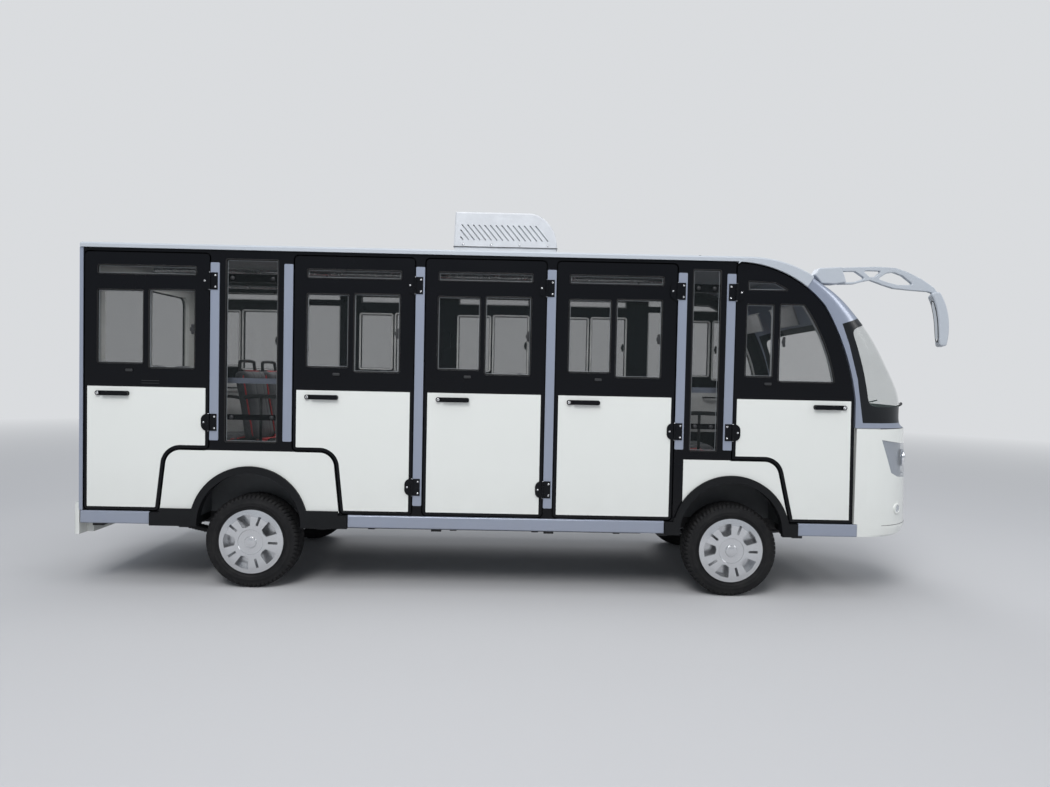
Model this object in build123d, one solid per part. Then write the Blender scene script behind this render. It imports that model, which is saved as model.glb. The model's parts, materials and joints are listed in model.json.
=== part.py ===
from build123d import *
import os
from math import atan2, cos, degrees, hypot, radians, sin

# Enclosed electric sightseeing shuttle with five side doors on each side.
# Millimetres. X runs forward, Y to the left, Z up from the ground.
# Lengths along the vehicle are measured from the middle of the wheelbase and
# everything is moved by X_SHIFT when it is written, so that the origin is at
# the centre of the whole outline, on the ground.

os.makedirs("parts", exist_ok=True)

# Overall stations along the vehicle
BODY_REAR = -2440.0
BUMPER_REAR = -2486.0
MIRROR_FRONT = 2755.0
X_SHIFT = -(BUMPER_REAR + MIRROR_FRONT) / 2

# Wheels and axles
AXLE_X = 1440.0
TYRE_R = 280.0
TYRE_WIDTH = 165.0
RIM_R = 178.0
COVER_R = 192.0
TYRE_MID_Y = 642.0
KINGPIN_Y = 575.0
HUB_R = 30.0
SPINDLE_R = 18.0
SPIN_FIT = 0.05
COVER_SPOKES = 5

# Body side: faces measured outward from the centre plane
SIDE_Y = 755.0
SKIN_T = 4.0
FRAME_Y = SIDE_Y - SKIN_T
LEAF_T = 36.0
STOP_GAP = 5.0
STOP_Y = FRAME_Y - LEAF_T - STOP_GAP
STOP_T = 20.0
STOP_LAP = 12.0
DOOR_GAP = 8.0
INNER_Y = STOP_Y - STOP_T

# Heights on the body side
SILL_TOP = 458.0
SILL_BOTTOM = 383.0
LEAF_BOTTOM = SILL_TOP + DOOR_GAP
LEAF_TOP = 1983.0
HEADER_TOP = 2009.0
SKIN_TOP = 1195.0

# Pillars: centre of each silver cover, from the rear to the front
PILLAR_W = 52.0
PILLAR_T = 6.0
PILLAR_TOP = 1934.0
PILLARS = {"p1": -1653.0, "p2": -1222.0, "p3": -449.0, "p4": 326.0, "p5": 1101.0, "p6": 1389.0}
PILLAR_FOOT_LOW = 521.0
PILLAR_FOOT_ARCH = 888.0
EDGE_TO_LEAF = PILLAR_W / 2 + DOOR_GAP

# Wheel arches
ARCH_Z = 389.0
FLARE_OUTER = 349.0
FLARE_INNER = 307.0
FLARE_PROUD = 14.0
FRONT_ARCH_X = 1425.0
HOUSING_HALF = 335.0
HOUSING_TOP = 715.0
HOUSING_WALL = 8.0
FRONT_HOUSING_Y = 405.0
REAR_HOUSING_Y = 500.0

# Door cut round the wheel arch: distance of its corner from the axle, the
# corner's height, the cut's distance from the axle at the leaf's foot
REAR_CUT = (499.0, 838.0, 540.0)
FRONT_CUT = (255.0, 836.0, 340.0)
CUT_R = 100.0

# Front door leaf: upper arcs and its front edge
FRONT_ARC_TOP = (1446.0, 1998.0)
FRONT_ARC_MID1 = (1735.0, 1922.0)
FRONT_ARC_JOIN = (1944.0, 1754.0)
FRONT_ARC_MID2 = (2069.0, 1492.0)
FRONT_ARC_END = (2140.0, 1195.0)
FRONT_EDGE = 2148.0
FRONT_LEAF_SHOULDER = 1980.0

# Hinges
HINGE_R = 7.0
PIN_R = 3.0
PIN_FIT = 0.05
HINGE_H = 100.0
HINGE_PLATE_T = 6.0
HINGE_DOOR_REACH = 45.0
HINGE_POST_REACH = 46.0
HINGE_Y = SIDE_Y + 8.0
HINGE_TO_PILLAR = 30.0
KNUCKLE_GAP = 1.0
UPPER_HINGE_Z = 1825.0

# Handles
HANDLE_L = 197.0
HANDLE_H = 28.0
HANDLE_Z = 1155.0
HANDLE_INSET = 68.0
HANDLE_PROUD = 24.0
HANDLE_GRIP_T = 9.0

# Glass
GLASS_T = 5.0
GLASS_LAP = 8.0
GLASS_FIT = 0.3
GLASS_DEPTH = 12.0
GLASS_INNER_Y = FRAME_Y - GLASS_DEPTH - GLASS_T

# Roof
ROOF_EDGE_TOP = 2040.0
ROOF_CROWN = 2086.0
ROOF_HALF_W = 762.0
ROOF_T = 22.0
ROOF_BEND_X = 1500.0
ROOF_BEND_R = 736.0
ROOF_BEND_DEG = 31.0
ROOF_SEAM_DEG = 0.05


def block(x0, x1, y0, y1, z0, z1):
    """Box between three pairs of planes."""
    size = (abs(x1 - x0), abs(y1 - y0), abs(z1 - z0))
    return Pos((x0 + x1) / 2, (y0 + y1) / 2, (z0 + z1) / 2) * Box(*size)


def slab(face, y0, y1):
    """Side-view face, drawn in X and Z, made solid between two Y planes."""
    return extrude(Plane.XZ.offset(-max(y0, y1)) * face, abs(y1 - y0))


def polygon(points, radius=0.0):
    """Closed side-view outline with all its corners rounded alike."""
    face = make_face(Polyline(*points, close=True))
    return fillet(face.vertices(), radius) if radius else face


def vertex_near(face, x, z):
    """The corner of a side-view outline at one point, as a list."""
    return [min(face.vertices(), key=lambda vertex: abs(vertex.X - x) + abs(vertex.Y - z))]


def rectangle(x0, x1, z0, z1, radius=0.0):
    """Side-view rectangle with rounded corners."""
    return polygon([(x0, z0), (x1, z0), (x1, z1), (x0, z1)], radius)


def rod_y(x, z, radius, y0, y1):
    """Round bar along Y."""
    return Pos(x, (y0 + y1) / 2, z) * Rot(90, 0, 0) * Cylinder(radius, abs(y1 - y0))


def rod_z(x, y, radius, z0, z1):
    """Round bar along Z."""
    return Pos(x, y, (z0 + z1) / 2) * Cylinder(radius, abs(z1 - z0))


def rod_x(y, z, radius, x0, x1):
    """Round bar along X."""
    return Pos((x0 + x1) / 2, y, z) * Rot(0, 90, 0) * Cylinder(radius, abs(x1 - x0))


def other_side(shape):
    """Mirror image across the centre plane."""
    return mirror(shape, Plane.XZ)


def both_sides(shape):
    """A right-hand shape with its mirror image."""
    return [shape, other_side(shape)]


def solids_of(items):
    """All the solids of a nested list of shapes."""
    if isinstance(items, (list, tuple)):
        return [solid for item in items for solid in solids_of(item)]
    return list(items.solids())


def write(name, *items):
    """Write one node, moved so that the outline's centre is the origin."""
    solids = [Pos(X_SHIFT, 0, 0) * solid for solid in solids_of(items)]
    shape = solids[0] if len(solids) == 1 else Compound(children=solids)
    export_step(shape, f"parts/{name}.step")


# Door leaves from the rear: rear edge, front edge, hinge pillar, side of the
# leaf that the hinge is on, height of the lower hinge
DOORS = {
    "1": (BODY_REAR + 25.0, PILLARS["p1"] - EDGE_TO_LEAF, "p1", "front", 994.0),
    "2": (PILLARS["p2"] + EDGE_TO_LEAF, PILLARS["p3"] - EDGE_TO_LEAF, "p3", "front", 632.0),
    "3": (PILLARS["p3"] + EDGE_TO_LEAF, PILLARS["p4"] - EDGE_TO_LEAF, "p4", "front", 632.0),
    "4": (PILLARS["p4"] + EDGE_TO_LEAF, PILLARS["p5"] - EDGE_TO_LEAF, "p5", "front", 994.0),
    "5": (PILLARS["p6"] + EDGE_TO_LEAF, FRONT_EDGE, "p6", "rear", 994.0),
}
LEAF_CORNER = 22.0
SKIN_INSET = 18.0
SKIN_REACH = 3000.0

# Panes of doors 1 to 4: rear margin, front margin (from the leaf's front
# edge where negative), bottom, top
PANES = {
    "transom": (70.0, -74.0, 1853.0, 1912.0),
    "fixed": (68.0, -382.0, 1330.0, 1768.0),
    "sliding": (-359.0, -80.0, 1305.0, 1774.0),
}
PANE_CORNER = 14.0


def leaf_face(door):
    """Outline of a door leaf in side view."""
    rear, front = DOORS[door][:2]
    if door == "5":
        corner, cut_z, foot = FRONT_CUT
        low = Polyline((FRONT_EDGE, LEAF_BOTTOM), (AXLE_X + foot, LEAF_BOTTOM), (AXLE_X + corner, cut_z),
                       (rear, cut_z), (rear, FRONT_LEAF_SHOULDER))
        shoulder = Line((rear, FRONT_LEAF_SHOULDER), FRONT_ARC_TOP)
        arcs = [
            ThreePointArc(FRONT_ARC_TOP, FRONT_ARC_MID1, FRONT_ARC_JOIN),
            ThreePointArc(FRONT_ARC_JOIN, FRONT_ARC_MID2, FRONT_ARC_END),
        ]
        edge = Line(FRONT_ARC_END, (FRONT_EDGE, LEAF_BOTTOM))
        face = make_face([*low.edges(), *shoulder.edges(), *arcs[0].edges(), *arcs[1].edges(), *edge.edges()])
        return fillet(vertex_near(face, AXLE_X + corner, cut_z), CUT_R)
    corner, cut_z, foot = REAR_CUT
    if door == "1":
        points = [(rear, LEAF_BOTTOM), (-AXLE_X - foot, LEAF_BOTTOM), (-AXLE_X - corner, cut_z), (front, cut_z),
                  (front, LEAF_TOP), (rear, LEAF_TOP)]
    elif door == "2":
        points = [(rear, cut_z), (corner - AXLE_X, cut_z), (foot - AXLE_X, LEAF_BOTTOM), (front, LEAF_BOTTOM),
                  (front, LEAF_TOP), (rear, LEAF_TOP)]
    else:
        return polygon([(rear, LEAF_BOTTOM), (front, LEAF_BOTTOM), (front, LEAF_TOP), (rear, LEAF_TOP)], LEAF_CORNER)
    face = polygon(points)
    cut = vertex_near(face, (-corner if door == "1" else corner) - AXLE_X, cut_z)
    face = fillet([vertex for vertex in face.vertices() if vertex.center() != cut[0].center()], LEAF_CORNER)
    return fillet(vertex_near(face, cut[0].X, cut_z), CUT_R)


def grown(face, amount):
    """Outline moved outward, or inward where amount is negative."""
    return offset(face, amount=amount, kind=Kind.INTERSECTION)


# Panes of the front doors: transom, fixed pane, and the bowed sliding pane
FRONT_TRANSOM = [(1488.0, 1838.0), (1755.0, 1838.0), (1652.0, 1893.0), (1488.0, 1897.0)]
FRONT_FIXED = (1481.0, 1652.0, 1326.0, 1762.0)
FRONT_BOW = [(1828.0, 1766.0), (1944.0, 1567.0), (2026.0, 1299.0)]
FRONT_SLIDE_REAR = 1680.0


def pane_faces(door):
    """Visible outline of each pane in a door."""
    rear, front = DOORS[door][:2]
    if door != "5":
        faces = []
        for start, end, low, high in PANES.values():
            x0 = rear + start if start > 0 else front + start
            faces.append(rectangle(x0, front + end, low, high, PANE_CORNER))
        return faces
    top, foot = FRONT_BOW[0], FRONT_BOW[-1]
    rest = Polyline(foot, (FRONT_SLIDE_REAR, foot[1]), (FRONT_SLIDE_REAR, top[1]), top)
    sliding = make_face([*ThreePointArc(*FRONT_BOW).edges(), *rest.edges()])
    sliding = fillet(sliding.vertices(), PANE_CORNER)
    return [polygon(FRONT_TRANSOM, 9.0), rectangle(*FRONT_FIXED, PANE_CORNER), sliding]


def hinge_axis(door):
    """X of a door's hinge axis and the direction from it to its pillar."""
    pillar, side = DOORS[door][2:4]
    toward = 1.0 if side == "front" else -1.0
    return PILLARS[pillar] - toward * HINGE_TO_PILLAR, toward


def hinge_heights(door):
    """Middle heights of a door's two hinges."""
    return (DOORS[door][4], UPPER_HINGE_Z)


HINGE_CLEAR = HINGE_R + 1.5
KNUCKLE_HALF = 19.0


def moving_hinge(door, zc):
    """Rounded door plate with the two outer knuckles and the pin."""
    ax, toward = hinge_axis(door)
    half = HINGE_H / 2
    near, far = ax - toward * (HINGE_R - 3.0), ax - toward * HINGE_DOOR_REACH
    round_end = far + toward * half * 0.7
    outline = rectangle(min(near, far), max(near, far), zc - half, zc + half)
    ends = [v for v in outline.vertices() if abs(v.X - far) < 1.0]
    outline = fillet(ends, abs(round_end - far))
    plate = slab(outline, -SIDE_Y - HINGE_PLATE_T, -SIDE_Y)
    edge = ax - toward * (EDGE_TO_LEAF - HINGE_TO_PILLAR + SKIN_INSET - 0.5)
    pad = block(ax - toward * HINGE_CLEAR, edge, -SIDE_Y, -FRAME_Y, zc - half, zc + half)
    notch_z = KNUCKLE_HALF + KNUCKLE_GAP
    notch = block(ax - toward * HINGE_CLEAR, ax + toward * HINGE_R,
                  -SIDE_Y - HINGE_PLATE_T, -SIDE_Y, zc - notch_z, zc + notch_z)
    knuckles = [rod_z(ax, -HINGE_Y, HINGE_R, zc - half, zc - notch_z),
                rod_z(ax, -HINGE_Y, HINGE_R, zc + notch_z, zc + half)]
    pin = rod_z(ax, -HINGE_Y, PIN_R, zc - half, zc + half)
    return plate - notch + pad + knuckles[0] + knuckles[1] + pin


def fixed_hinge(door, zc):
    """Square pillar plate with the middle knuckle, bored for the pin."""
    ax, toward = hinge_axis(door)
    half = HINGE_H / 2
    near, far = ax + toward * (HINGE_R + 1.0), ax + toward * HINGE_POST_REACH
    plate = block(near, far, -SIDE_Y - HINGE_PLATE_T, -FRAME_Y + 1.0, zc - half, zc + half)
    arm = block(ax, near, -SIDE_Y - HINGE_PLATE_T, -SIDE_Y - 1.5, zc - KNUCKLE_HALF, zc + KNUCKLE_HALF)
    knuckle = rod_z(ax, -HINGE_Y, HINGE_R, zc - KNUCKLE_HALF, zc + KNUCKLE_HALF)
    bore = rod_z(ax, -HINGE_Y, PIN_R + PIN_FIT, zc - half, zc + half)
    return plate + arm + knuckle - bore


def handle(door):
    """Pull bar on two feet beside a round key boss."""
    rear, front = DOORS[door][:2]
    start = rear + HANDLE_INSET if door != "5" else front - HANDLE_INSET + 14.0
    run = 1.0 if door != "5" else -1.0
    end = start + run * HANDLE_L
    lo, hi = min(start, end), max(start, end)
    half = HANDLE_H / 2
    base = slab(rectangle(lo, hi, HANDLE_Z - half, HANDLE_Z + half, half * 0.8), -SIDE_Y - 4.0, -SIDE_Y)
    inner = start + run * (HANDLE_H + 12.0)
    grip_face = rectangle(min(inner, end), max(inner, end), HANDLE_Z - half * 0.7, HANDLE_Z + half * 0.7, 6.0)
    grip = slab(grip_face, -SIDE_Y - HANDLE_PROUD, -SIDE_Y - HANDLE_PROUD + HANDLE_GRIP_T)
    feet = []
    for x in (inner + run * 10.0, end - run * 10.0):
        feet.append(block(x - 8.0, x + 8.0, -SIDE_Y - HANDLE_PROUD + 2.0, -SIDE_Y - 3.0,
                          HANDLE_Z - half * 0.6, HANDLE_Z + half * 0.6))
    key = rod_y(start + run * half, HANDLE_Z, half, -SIDE_Y - 13.0, -SIDE_Y)
    return base + grip + feet[0] + feet[1] + key


def door_frame(door):
    """Black leaf with its pane openings, moving hinge leaves and handle."""
    inside = -FRAME_Y + LEAF_T
    leaf = slab(leaf_face(door), -FRAME_Y, inside)
    for pane in pane_faces(door):
        leaf -= slab(pane, -FRAME_Y, inside)
        leaf -= slab(grown(pane, GLASS_LAP), -FRAME_Y + GLASS_DEPTH, inside)
    for zc in hinge_heights(door):
        leaf += moving_hinge(door, zc)
    return [leaf, handle(door)]


def door_skin(door):
    """White lower panel that lies on the leaf."""
    face = grown(leaf_face(door), -SKIN_INSET)
    face = face & rectangle(-SKIN_REACH, SKIN_REACH, LEAF_BOTTOM, SKIN_TOP)
    return slab(face, -SIDE_Y, -FRAME_Y)


def door_glass(door):
    """Panes seated against the rebates from inside."""
    front = -FRAME_Y + GLASS_DEPTH
    return [slab(grown(pane, GLASS_LAP - GLASS_FIT), front, front + GLASS_T) for pane in pane_faces(door)]


for number in DOORS:
    pieces = {"frame": door_frame(number), "skin": [door_skin(number)], "glass": door_glass(number)}
    for kind, shapes in pieces.items():
        write(f"door_r{number}_{kind}", shapes)
        write(f"door_l{number}_{kind}", [other_side(shape) for shape in shapes])


# Fixed narrow windows: pillar behind, pillar ahead
NARROW = [("p1", "p2"), ("p5", "p6")]
NARROW_INSET = 58.0
NARROW_BOTTOM = 875.0
NARROW_TOP = 1960.0

CROSSBARS = [(1010.0, 1042.0), (1824.0, 1872.0)]
CROSSBAR_T = 14.0
HANDRAIL_Z = (1226.0, 1258.0)
HANDRAIL_T = 24.0

# Rear wall
REAR_T = 36.0
REAR_WINDOW = (560.0, 1210.0, 1840.0)
REAR_WINDOW_R = 60.0
REAR_PANE_IN = 10.0
TAIL_LAMP_Y = (600.0, 672.0)
TAIL_LAMP_Z = (840.0, 1130.0)
TAIL_LAMP_T = 22.0
BUMPER_Z = (314.0, 501.0)
BUMPER_HALF_W = SIDE_Y - 6.0
BUMPER_OFF = 4.5
BUMPER_CORNER = 34.0

# Lower rail and upper rail of the side frame
RAIL_BOTTOM = 400.0
RAIL_Y = 735.0
CANT_Y = 650.0
FRONT_RING = 16.0
FRONT_RING_Y = 728.0
FENDER_TOP = 828.0
FENDER_GAP = 4.0
ARCH_CUT = 320.0
FENDER_ARCH = 330.0
FENDER_BOTTOM = 470.0

# Blocks at the feet of the flares: rear end, front end, and how far out
# from the arch centre the part that stands above the sill reaches
BLOCK_BOTTOM = 377.0
BLOCK_TOP = 480.0
ARCHES = {
    "rear": (-AXLE_X, -2025.0, -860.0, -526.0, 526.0),
    "front": (FRONT_ARCH_X, 1027.0, 1824.0, -346.0, 341.0),
}
SILLS = [(-2433.0, -2029.0), (-856.0, 1023.0), (1828.0, 2180.0)]


def narrow_faces():
    """Visible outline of the two narrow side windows."""
    return [
        rectangle(PILLARS[a] + NARROW_INSET, PILLARS[b] - NARROW_INSET, NARROW_BOTTOM, NARROW_TOP, PANE_CORNER)
        for a, b in NARROW
    ]


def arch_face(centre, radius, foot=300.0):
    """Round-topped opening of a wheel arch in side view."""
    disc = Pos(centre, ARCH_Z) * Circle(radius)
    return disc + rectangle(centre - radius, centre + radius, foot, ARCH_Z)


def side_frame():
    """Pillars, rails and stops of the right-hand side in one welded frame."""
    front_x = PILLARS["p6"] + PILLAR_W / 2
    outer = rectangle(BODY_REAR, front_x, SILL_TOP, HEADER_TOP)
    stop = rectangle(BODY_REAR, front_x, RAIL_BOTTOM, HEADER_TOP)
    wing = rectangle(front_x - 1.0, AXLE_X + FRONT_CUT[2], SILL_TOP, FENDER_TOP)
    outer = outer + wing
    stop = stop + wing
    for door in DOORS:
        outer = outer - grown(leaf_face(door), DOOR_GAP)
        stop = stop - grown(leaf_face(door), -STOP_LAP)
    for centre in (-AXLE_X, FRONT_ARCH_X):
        outer = outer - arch_face(centre, ARCH_CUT)
        stop = stop - arch_face(centre, ARCH_CUT)
    frame = slab(outer, -FRAME_Y, -STOP_Y) + slab(stop, -STOP_Y, -INNER_Y)
    ring = grown(leaf_face("5"), FRONT_RING) - grown(leaf_face("5"), -STOP_LAP)
    ring = ring & rectangle(front_x - 1.0, FRONT_EDGE + 200.0, RAIL_BOTTOM, HEADER_TOP + 100.0)
    ring = ring - arch_face(FRONT_ARCH_X, ARCH_CUT)
    gap_ring = grown(leaf_face("5"), DOOR_GAP)
    frame += slab(ring, -STOP_Y, -INNER_Y)
    frame += slab(ring - gap_ring, -FRONT_RING_Y, -STOP_Y)
    for x0, x1 in ((BODY_REAR, -AXLE_X - ARCH_CUT), (-AXLE_X + ARCH_CUT, FRONT_ARCH_X - ARCH_CUT),
                   (FRONT_ARCH_X + ARCH_CUT, FRONT_EDGE + DOOR_GAP)):
        frame += block(x0, x1, -RAIL_Y, -INNER_Y, RAIL_BOTTOM, SILL_TOP)
    frame += block(BODY_REAR + REAR_T, front_x + 20.0, -STOP_Y, -CANT_Y, LEAF_TOP - STOP_LAP, HEADER_TOP)
    for pane in narrow_faces():
        frame -= slab(pane, -FRAME_Y, -CANT_Y)
        frame -= slab(grown(pane, GLASS_LAP), -FRAME_Y + GLASS_DEPTH, -CANT_Y)
    for (a, b) in NARROW:
        x0, x1 = PILLARS[a] + NARROW_INSET - GLASS_LAP, PILLARS[b] - NARROW_INSET + GLASS_LAP
        for low, high in CROSSBARS:
            frame += block(x0, x1, -GLASS_INNER_Y, -GLASS_INNER_Y + CROSSBAR_T, low, high)
    for door in DOORS:
        for zc in hinge_heights(door):
            frame += fixed_hinge(door, zc)
    return frame


def hinge_windows():
    """Spaces in the pillar covers that the fixed hinge plates pass through."""
    cuts = []
    for door in DOORS:
        ax, toward = hinge_axis(door)
        near, far = ax + toward * (HINGE_R - 4.0), ax + toward * (HINGE_POST_REACH + 0.5)
        for zc in hinge_heights(door):
            half = HINGE_H / 2 + 0.5
            cuts.append(block(near, far, -SIDE_Y - 20.0, -FRAME_Y + 1.0, zc - half, zc + half))
    return cuts


def cladding():
    """Silver pillar covers, sills and the wrapped rear corner."""
    pieces = []
    cuts = hinge_windows()
    for name, x in PILLARS.items():
        foot = PILLAR_FOOT_LOW if name in ("p3", "p4") else PILLAR_FOOT_ARCH
        face = rectangle(x - PILLAR_W / 2, x + PILLAR_W / 2, foot, PILLAR_TOP, 6.0)
        cover = slab(face, -FRAME_Y - PILLAR_T, -FRAME_Y)
        for cut in cuts:
            cover -= cut
        pieces.append(cover)
    for x0, x1 in SILLS:
        bar = block(x0, x1, -SIDE_Y - 3.0, -RAIL_Y, SILL_BOTTOM, SILL_TOP)
        pieces.append(fillet(bar.edges().filter_by(Axis.X).group_by(Axis.Y)[0], 9.0))
    corner = block(BODY_REAR - 4.0, BODY_REAR + 17.0, -SIDE_Y, -FRAME_Y, SILL_TOP + 2.0, HEADER_TOP - 1.0)
    corner += block(BODY_REAR - 4.0, BODY_REAR, -SIDE_Y, -INNER_Y, SILL_TOP + 2.0, HEADER_TOP - 1.0)
    pieces.append(corner)
    for a, b in NARROW:
        pieces.append(block(PILLARS[a], PILLARS[b], -INNER_Y, -INNER_Y + HANDRAIL_T, *HANDRAIL_Z))
    return pieces


def fender(kind):
    """White panel between the flare, the door cuts and the narrow window."""
    centre = ARCHES[kind][0]
    grow = DOOR_GAP + FENDER_GAP
    if kind == "rear":
        face = rectangle(-AXLE_X - 560.0, -AXLE_X + 560.0, FENDER_BOTTOM, FENDER_TOP)
        face = face - grown(leaf_face("1"), grow) - grown(leaf_face("2"), grow)
    else:
        face = rectangle(PILLARS["p5"] + PILLAR_W / 2 + FENDER_GAP, AXLE_X + 400.0, FENDER_BOTTOM, FENDER_TOP)
        face = face - grown(leaf_face("5"), grow)
    face = face - arch_face(centre, FENDER_ARCH)
    pieces = slab(face, -SIDE_Y, -FRAME_Y).solids()
    return max(pieces, key=lambda piece: piece.volume)


def flare(kind):
    """Black arch ring with the two blocks at its feet."""
    centre, rear, front, up_rear, up_front = ARCHES[kind]
    outer_y = -SIDE_Y - FLARE_PROUD
    upper = rectangle(centre - FLARE_OUTER, centre + FLARE_OUTER, ARCH_Z, ARCH_Z + FLARE_OUTER)
    ring = (Pos(centre, ARCH_Z) * Circle(FLARE_OUTER)) - (Pos(centre, ARCH_Z) * Circle(FLARE_INNER))
    lip = (Pos(centre, ARCH_Z) * Circle(ARCH_CUT - 0.5)) - (Pos(centre, ARCH_Z) * Circle(FLARE_INNER))
    body = slab(ring & upper, outer_y, -SIDE_Y) + slab(lip & upper, outer_y, -STOP_Y)
    for inner, end, up in ((centre - FLARE_INNER, rear, centre + up_rear),
                           (centre + FLARE_INNER, front, centre + up_front)):
        body += block(inner, end, outer_y, -RAIL_Y, BLOCK_BOTTOM, SILL_TOP - 2.0)
        body += block(inner, up, outer_y, -SIDE_Y, SILL_TOP - 3.0, BLOCK_TOP)
    return body


write("side_frames", both_sides(side_frame()))
write("silver_cladding", [both_sides(piece) for piece in cladding()])
write("fender_panels", [both_sides(fender(kind)) for kind in ARCHES])
write("wheel_arch_flares", [both_sides(flare(kind)) for kind in ARCHES])


# Front shell: height, where the flat side ends, radius of the corner
NOSE_BACK = 1760.0
NOSE_TURN = 80.0
NOSE_LOW = [
    (385.0, 2216.0, 338.0), (396.0, 2230.0, 356.0), (436.0, 2238.0, 372.0), (470.0, 2236.0, 372.0),
    (700.0, 2232.0, 372.0), (1032.0, 2222.0, 366.0),
]
NOSE_HIGH = [
    (1036.0, 2220.0, 360.0), (1136.0, 2214.0, 322.0), (1352.0, 2184.0, 274.0), (1472.0, 2150.0, 228.0),
    (1593.0, 2095.0, 200.0), (1697.0, 2040.0, 160.0), (1790.0, 1975.0, 130.0), (1868.0, 1900.0, 96.0),
    (1940.0, 1815.0, 70.0),
]
SHELL_T = 24.0
SCREEN_T = 6.0
SCREEN_FIT = 0.3
SCREEN_NEAR = [(2195.0, 1067.0), (2156.0, 1328.0), (2100.0, 1531.0), (2054.0, 1655.0)]
SCREEN_TIP = (2262.0, 1722.0)
STRIP_GAP = 10.0
MASK_REAR = 2162.0
LAMP_SIDE = [(2320.0, 968.0), (2396.0, 768.0), (2450.0, 742.0), (2760.0, 700.0), (2760.0, 925.0), (2470.0, 945.0)]
LAMP_INNER_Y = 440.0

# Brackets inside the mask that stand on the front ends of the chassis rails
RAIL_FRONT = 2420.0
RAIL_Y_PLANES = (345.0, 395.0)
BRACKET_Z = (388.0, 418.0)

# Roof air unit: outline, edge rounding, base step and slanted slots
AIR_REAR = -296.0
AIR_FRONT = 372.0
AIR_HALF_W = 335.0
AIR_BASE = 2082.0
AIR_BASE_TOP = 2100.0
AIR_FLANGE = 2132.0
AIR_TOP = 2355.0
AIR_CURVE = 187.0
AIR_LEAN = 9.0
AIR_EDGE_R = 10.0
AIR_STEP = 4.0
SKIRT_INSET = 20.0
AIR_SLOTS = 16
AIR_SLOT_PITCH = 36.6
AIR_SLOT_FOOT = (-239.0, 2178.0)
AIR_SLOT_REAR = -252.0
AIR_SLOT_RUN = 78.0
AIR_SLOT_RISE = 93.0
AIR_SLOT_W = 7.5
AIR_SLOT_DEPTH = 14.0

# Mirror arms in side view: pod on the roof corner, pierced arm, hanging head
ARM_Y = 655.0
ARM_T = 30.0
ARM_CORNER = 7.0
ARM_EDGE_R = 4.5
POD_HALF_W = 42.0
POD_EDGE_R = 7.0
POD_SIDE = [
    (1905.0, 1950.0), (1932.0, 1990.0), (2066.0, 1999.0), (2098.0, 1908.0), (2030.0, 1896.3), (1950.0, 1898.3),
]
ARM_SIDE = [
    (2030.0, 1997.0), (2284.0, 2010.0), (2402.0, 2006.0), (2477.0, 1983.0), (2567.0, 1941.0), (2640.0, 1893.0),
    (2694.0, 1826.0), (2650.0, 1812.0), (2634.0, 1858.0), (2607.0, 1866.0), (2511.0, 1871.0), (2399.0, 1880.0),
    (2332.0, 1900.0), (2254.0, 1927.0), (2213.0, 1918.0), (2155.0, 1902.0), (2060.0, 1898.0),
]
ARM_OPENINGS = [
    [(2064.0, 1976.0), (2160.0, 1978.0), (2182.0, 1964.0), (2222.0, 1938.0), (2155.0, 1915.0), (2102.0, 1911.0)],
    [(2206.0, 1984.0), (2324.0, 1984.0), (2280.0, 1947.0), (2248.0, 1947.0)],
    [(2300.0, 1937.0), (2352.0, 1972.0), (2396.0, 1977.0), (2448.0, 1959.0), (2520.0, 1905.0), (2421.0, 1903.0),
     (2361.0, 1917.0)],
]

# Mirror head: rear and front curves on its outer side, and how it turns inward
HEAD_REAR = [(2572.0, 1852.0), (2612.0, 1764.0), (2630.0, 1660.0), (2640.0, 1536.0)]
HEAD_FRONT = [(2682.0, 1536.0), (2694.0, 1650.0), (2676.0, 1762.0), (2632.0, 1856.0)]
HEAD_Y = (750.0, 595.0)
HEAD_TURN = 65.4
HEAD_CORNER = 16.0
HEAD_EDGE_R = 9.0


def roof_section(drop):
    """Half-round roof outline in Y and Z; drop moves it inward."""
    half = ROOF_HALF_W - drop
    top = ROOF_EDGE_TOP - drop
    crown = ROOF_CROWN - drop
    shoulder = 20.0
    arc = ThreePointArc((-half + shoulder, top), (0, crown), (half - shoulder, top))
    chamfer = 12.0 - 0.3 * drop
    right = Polyline((half - shoulder, top), (half, top - chamfer), (half, HEADER_TOP), (-half, HEADER_TOP),
                     (-half, top - chamfer), (-half + shoulder, top))
    return make_face([*arc.edges(), *right.edges()])


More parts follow.
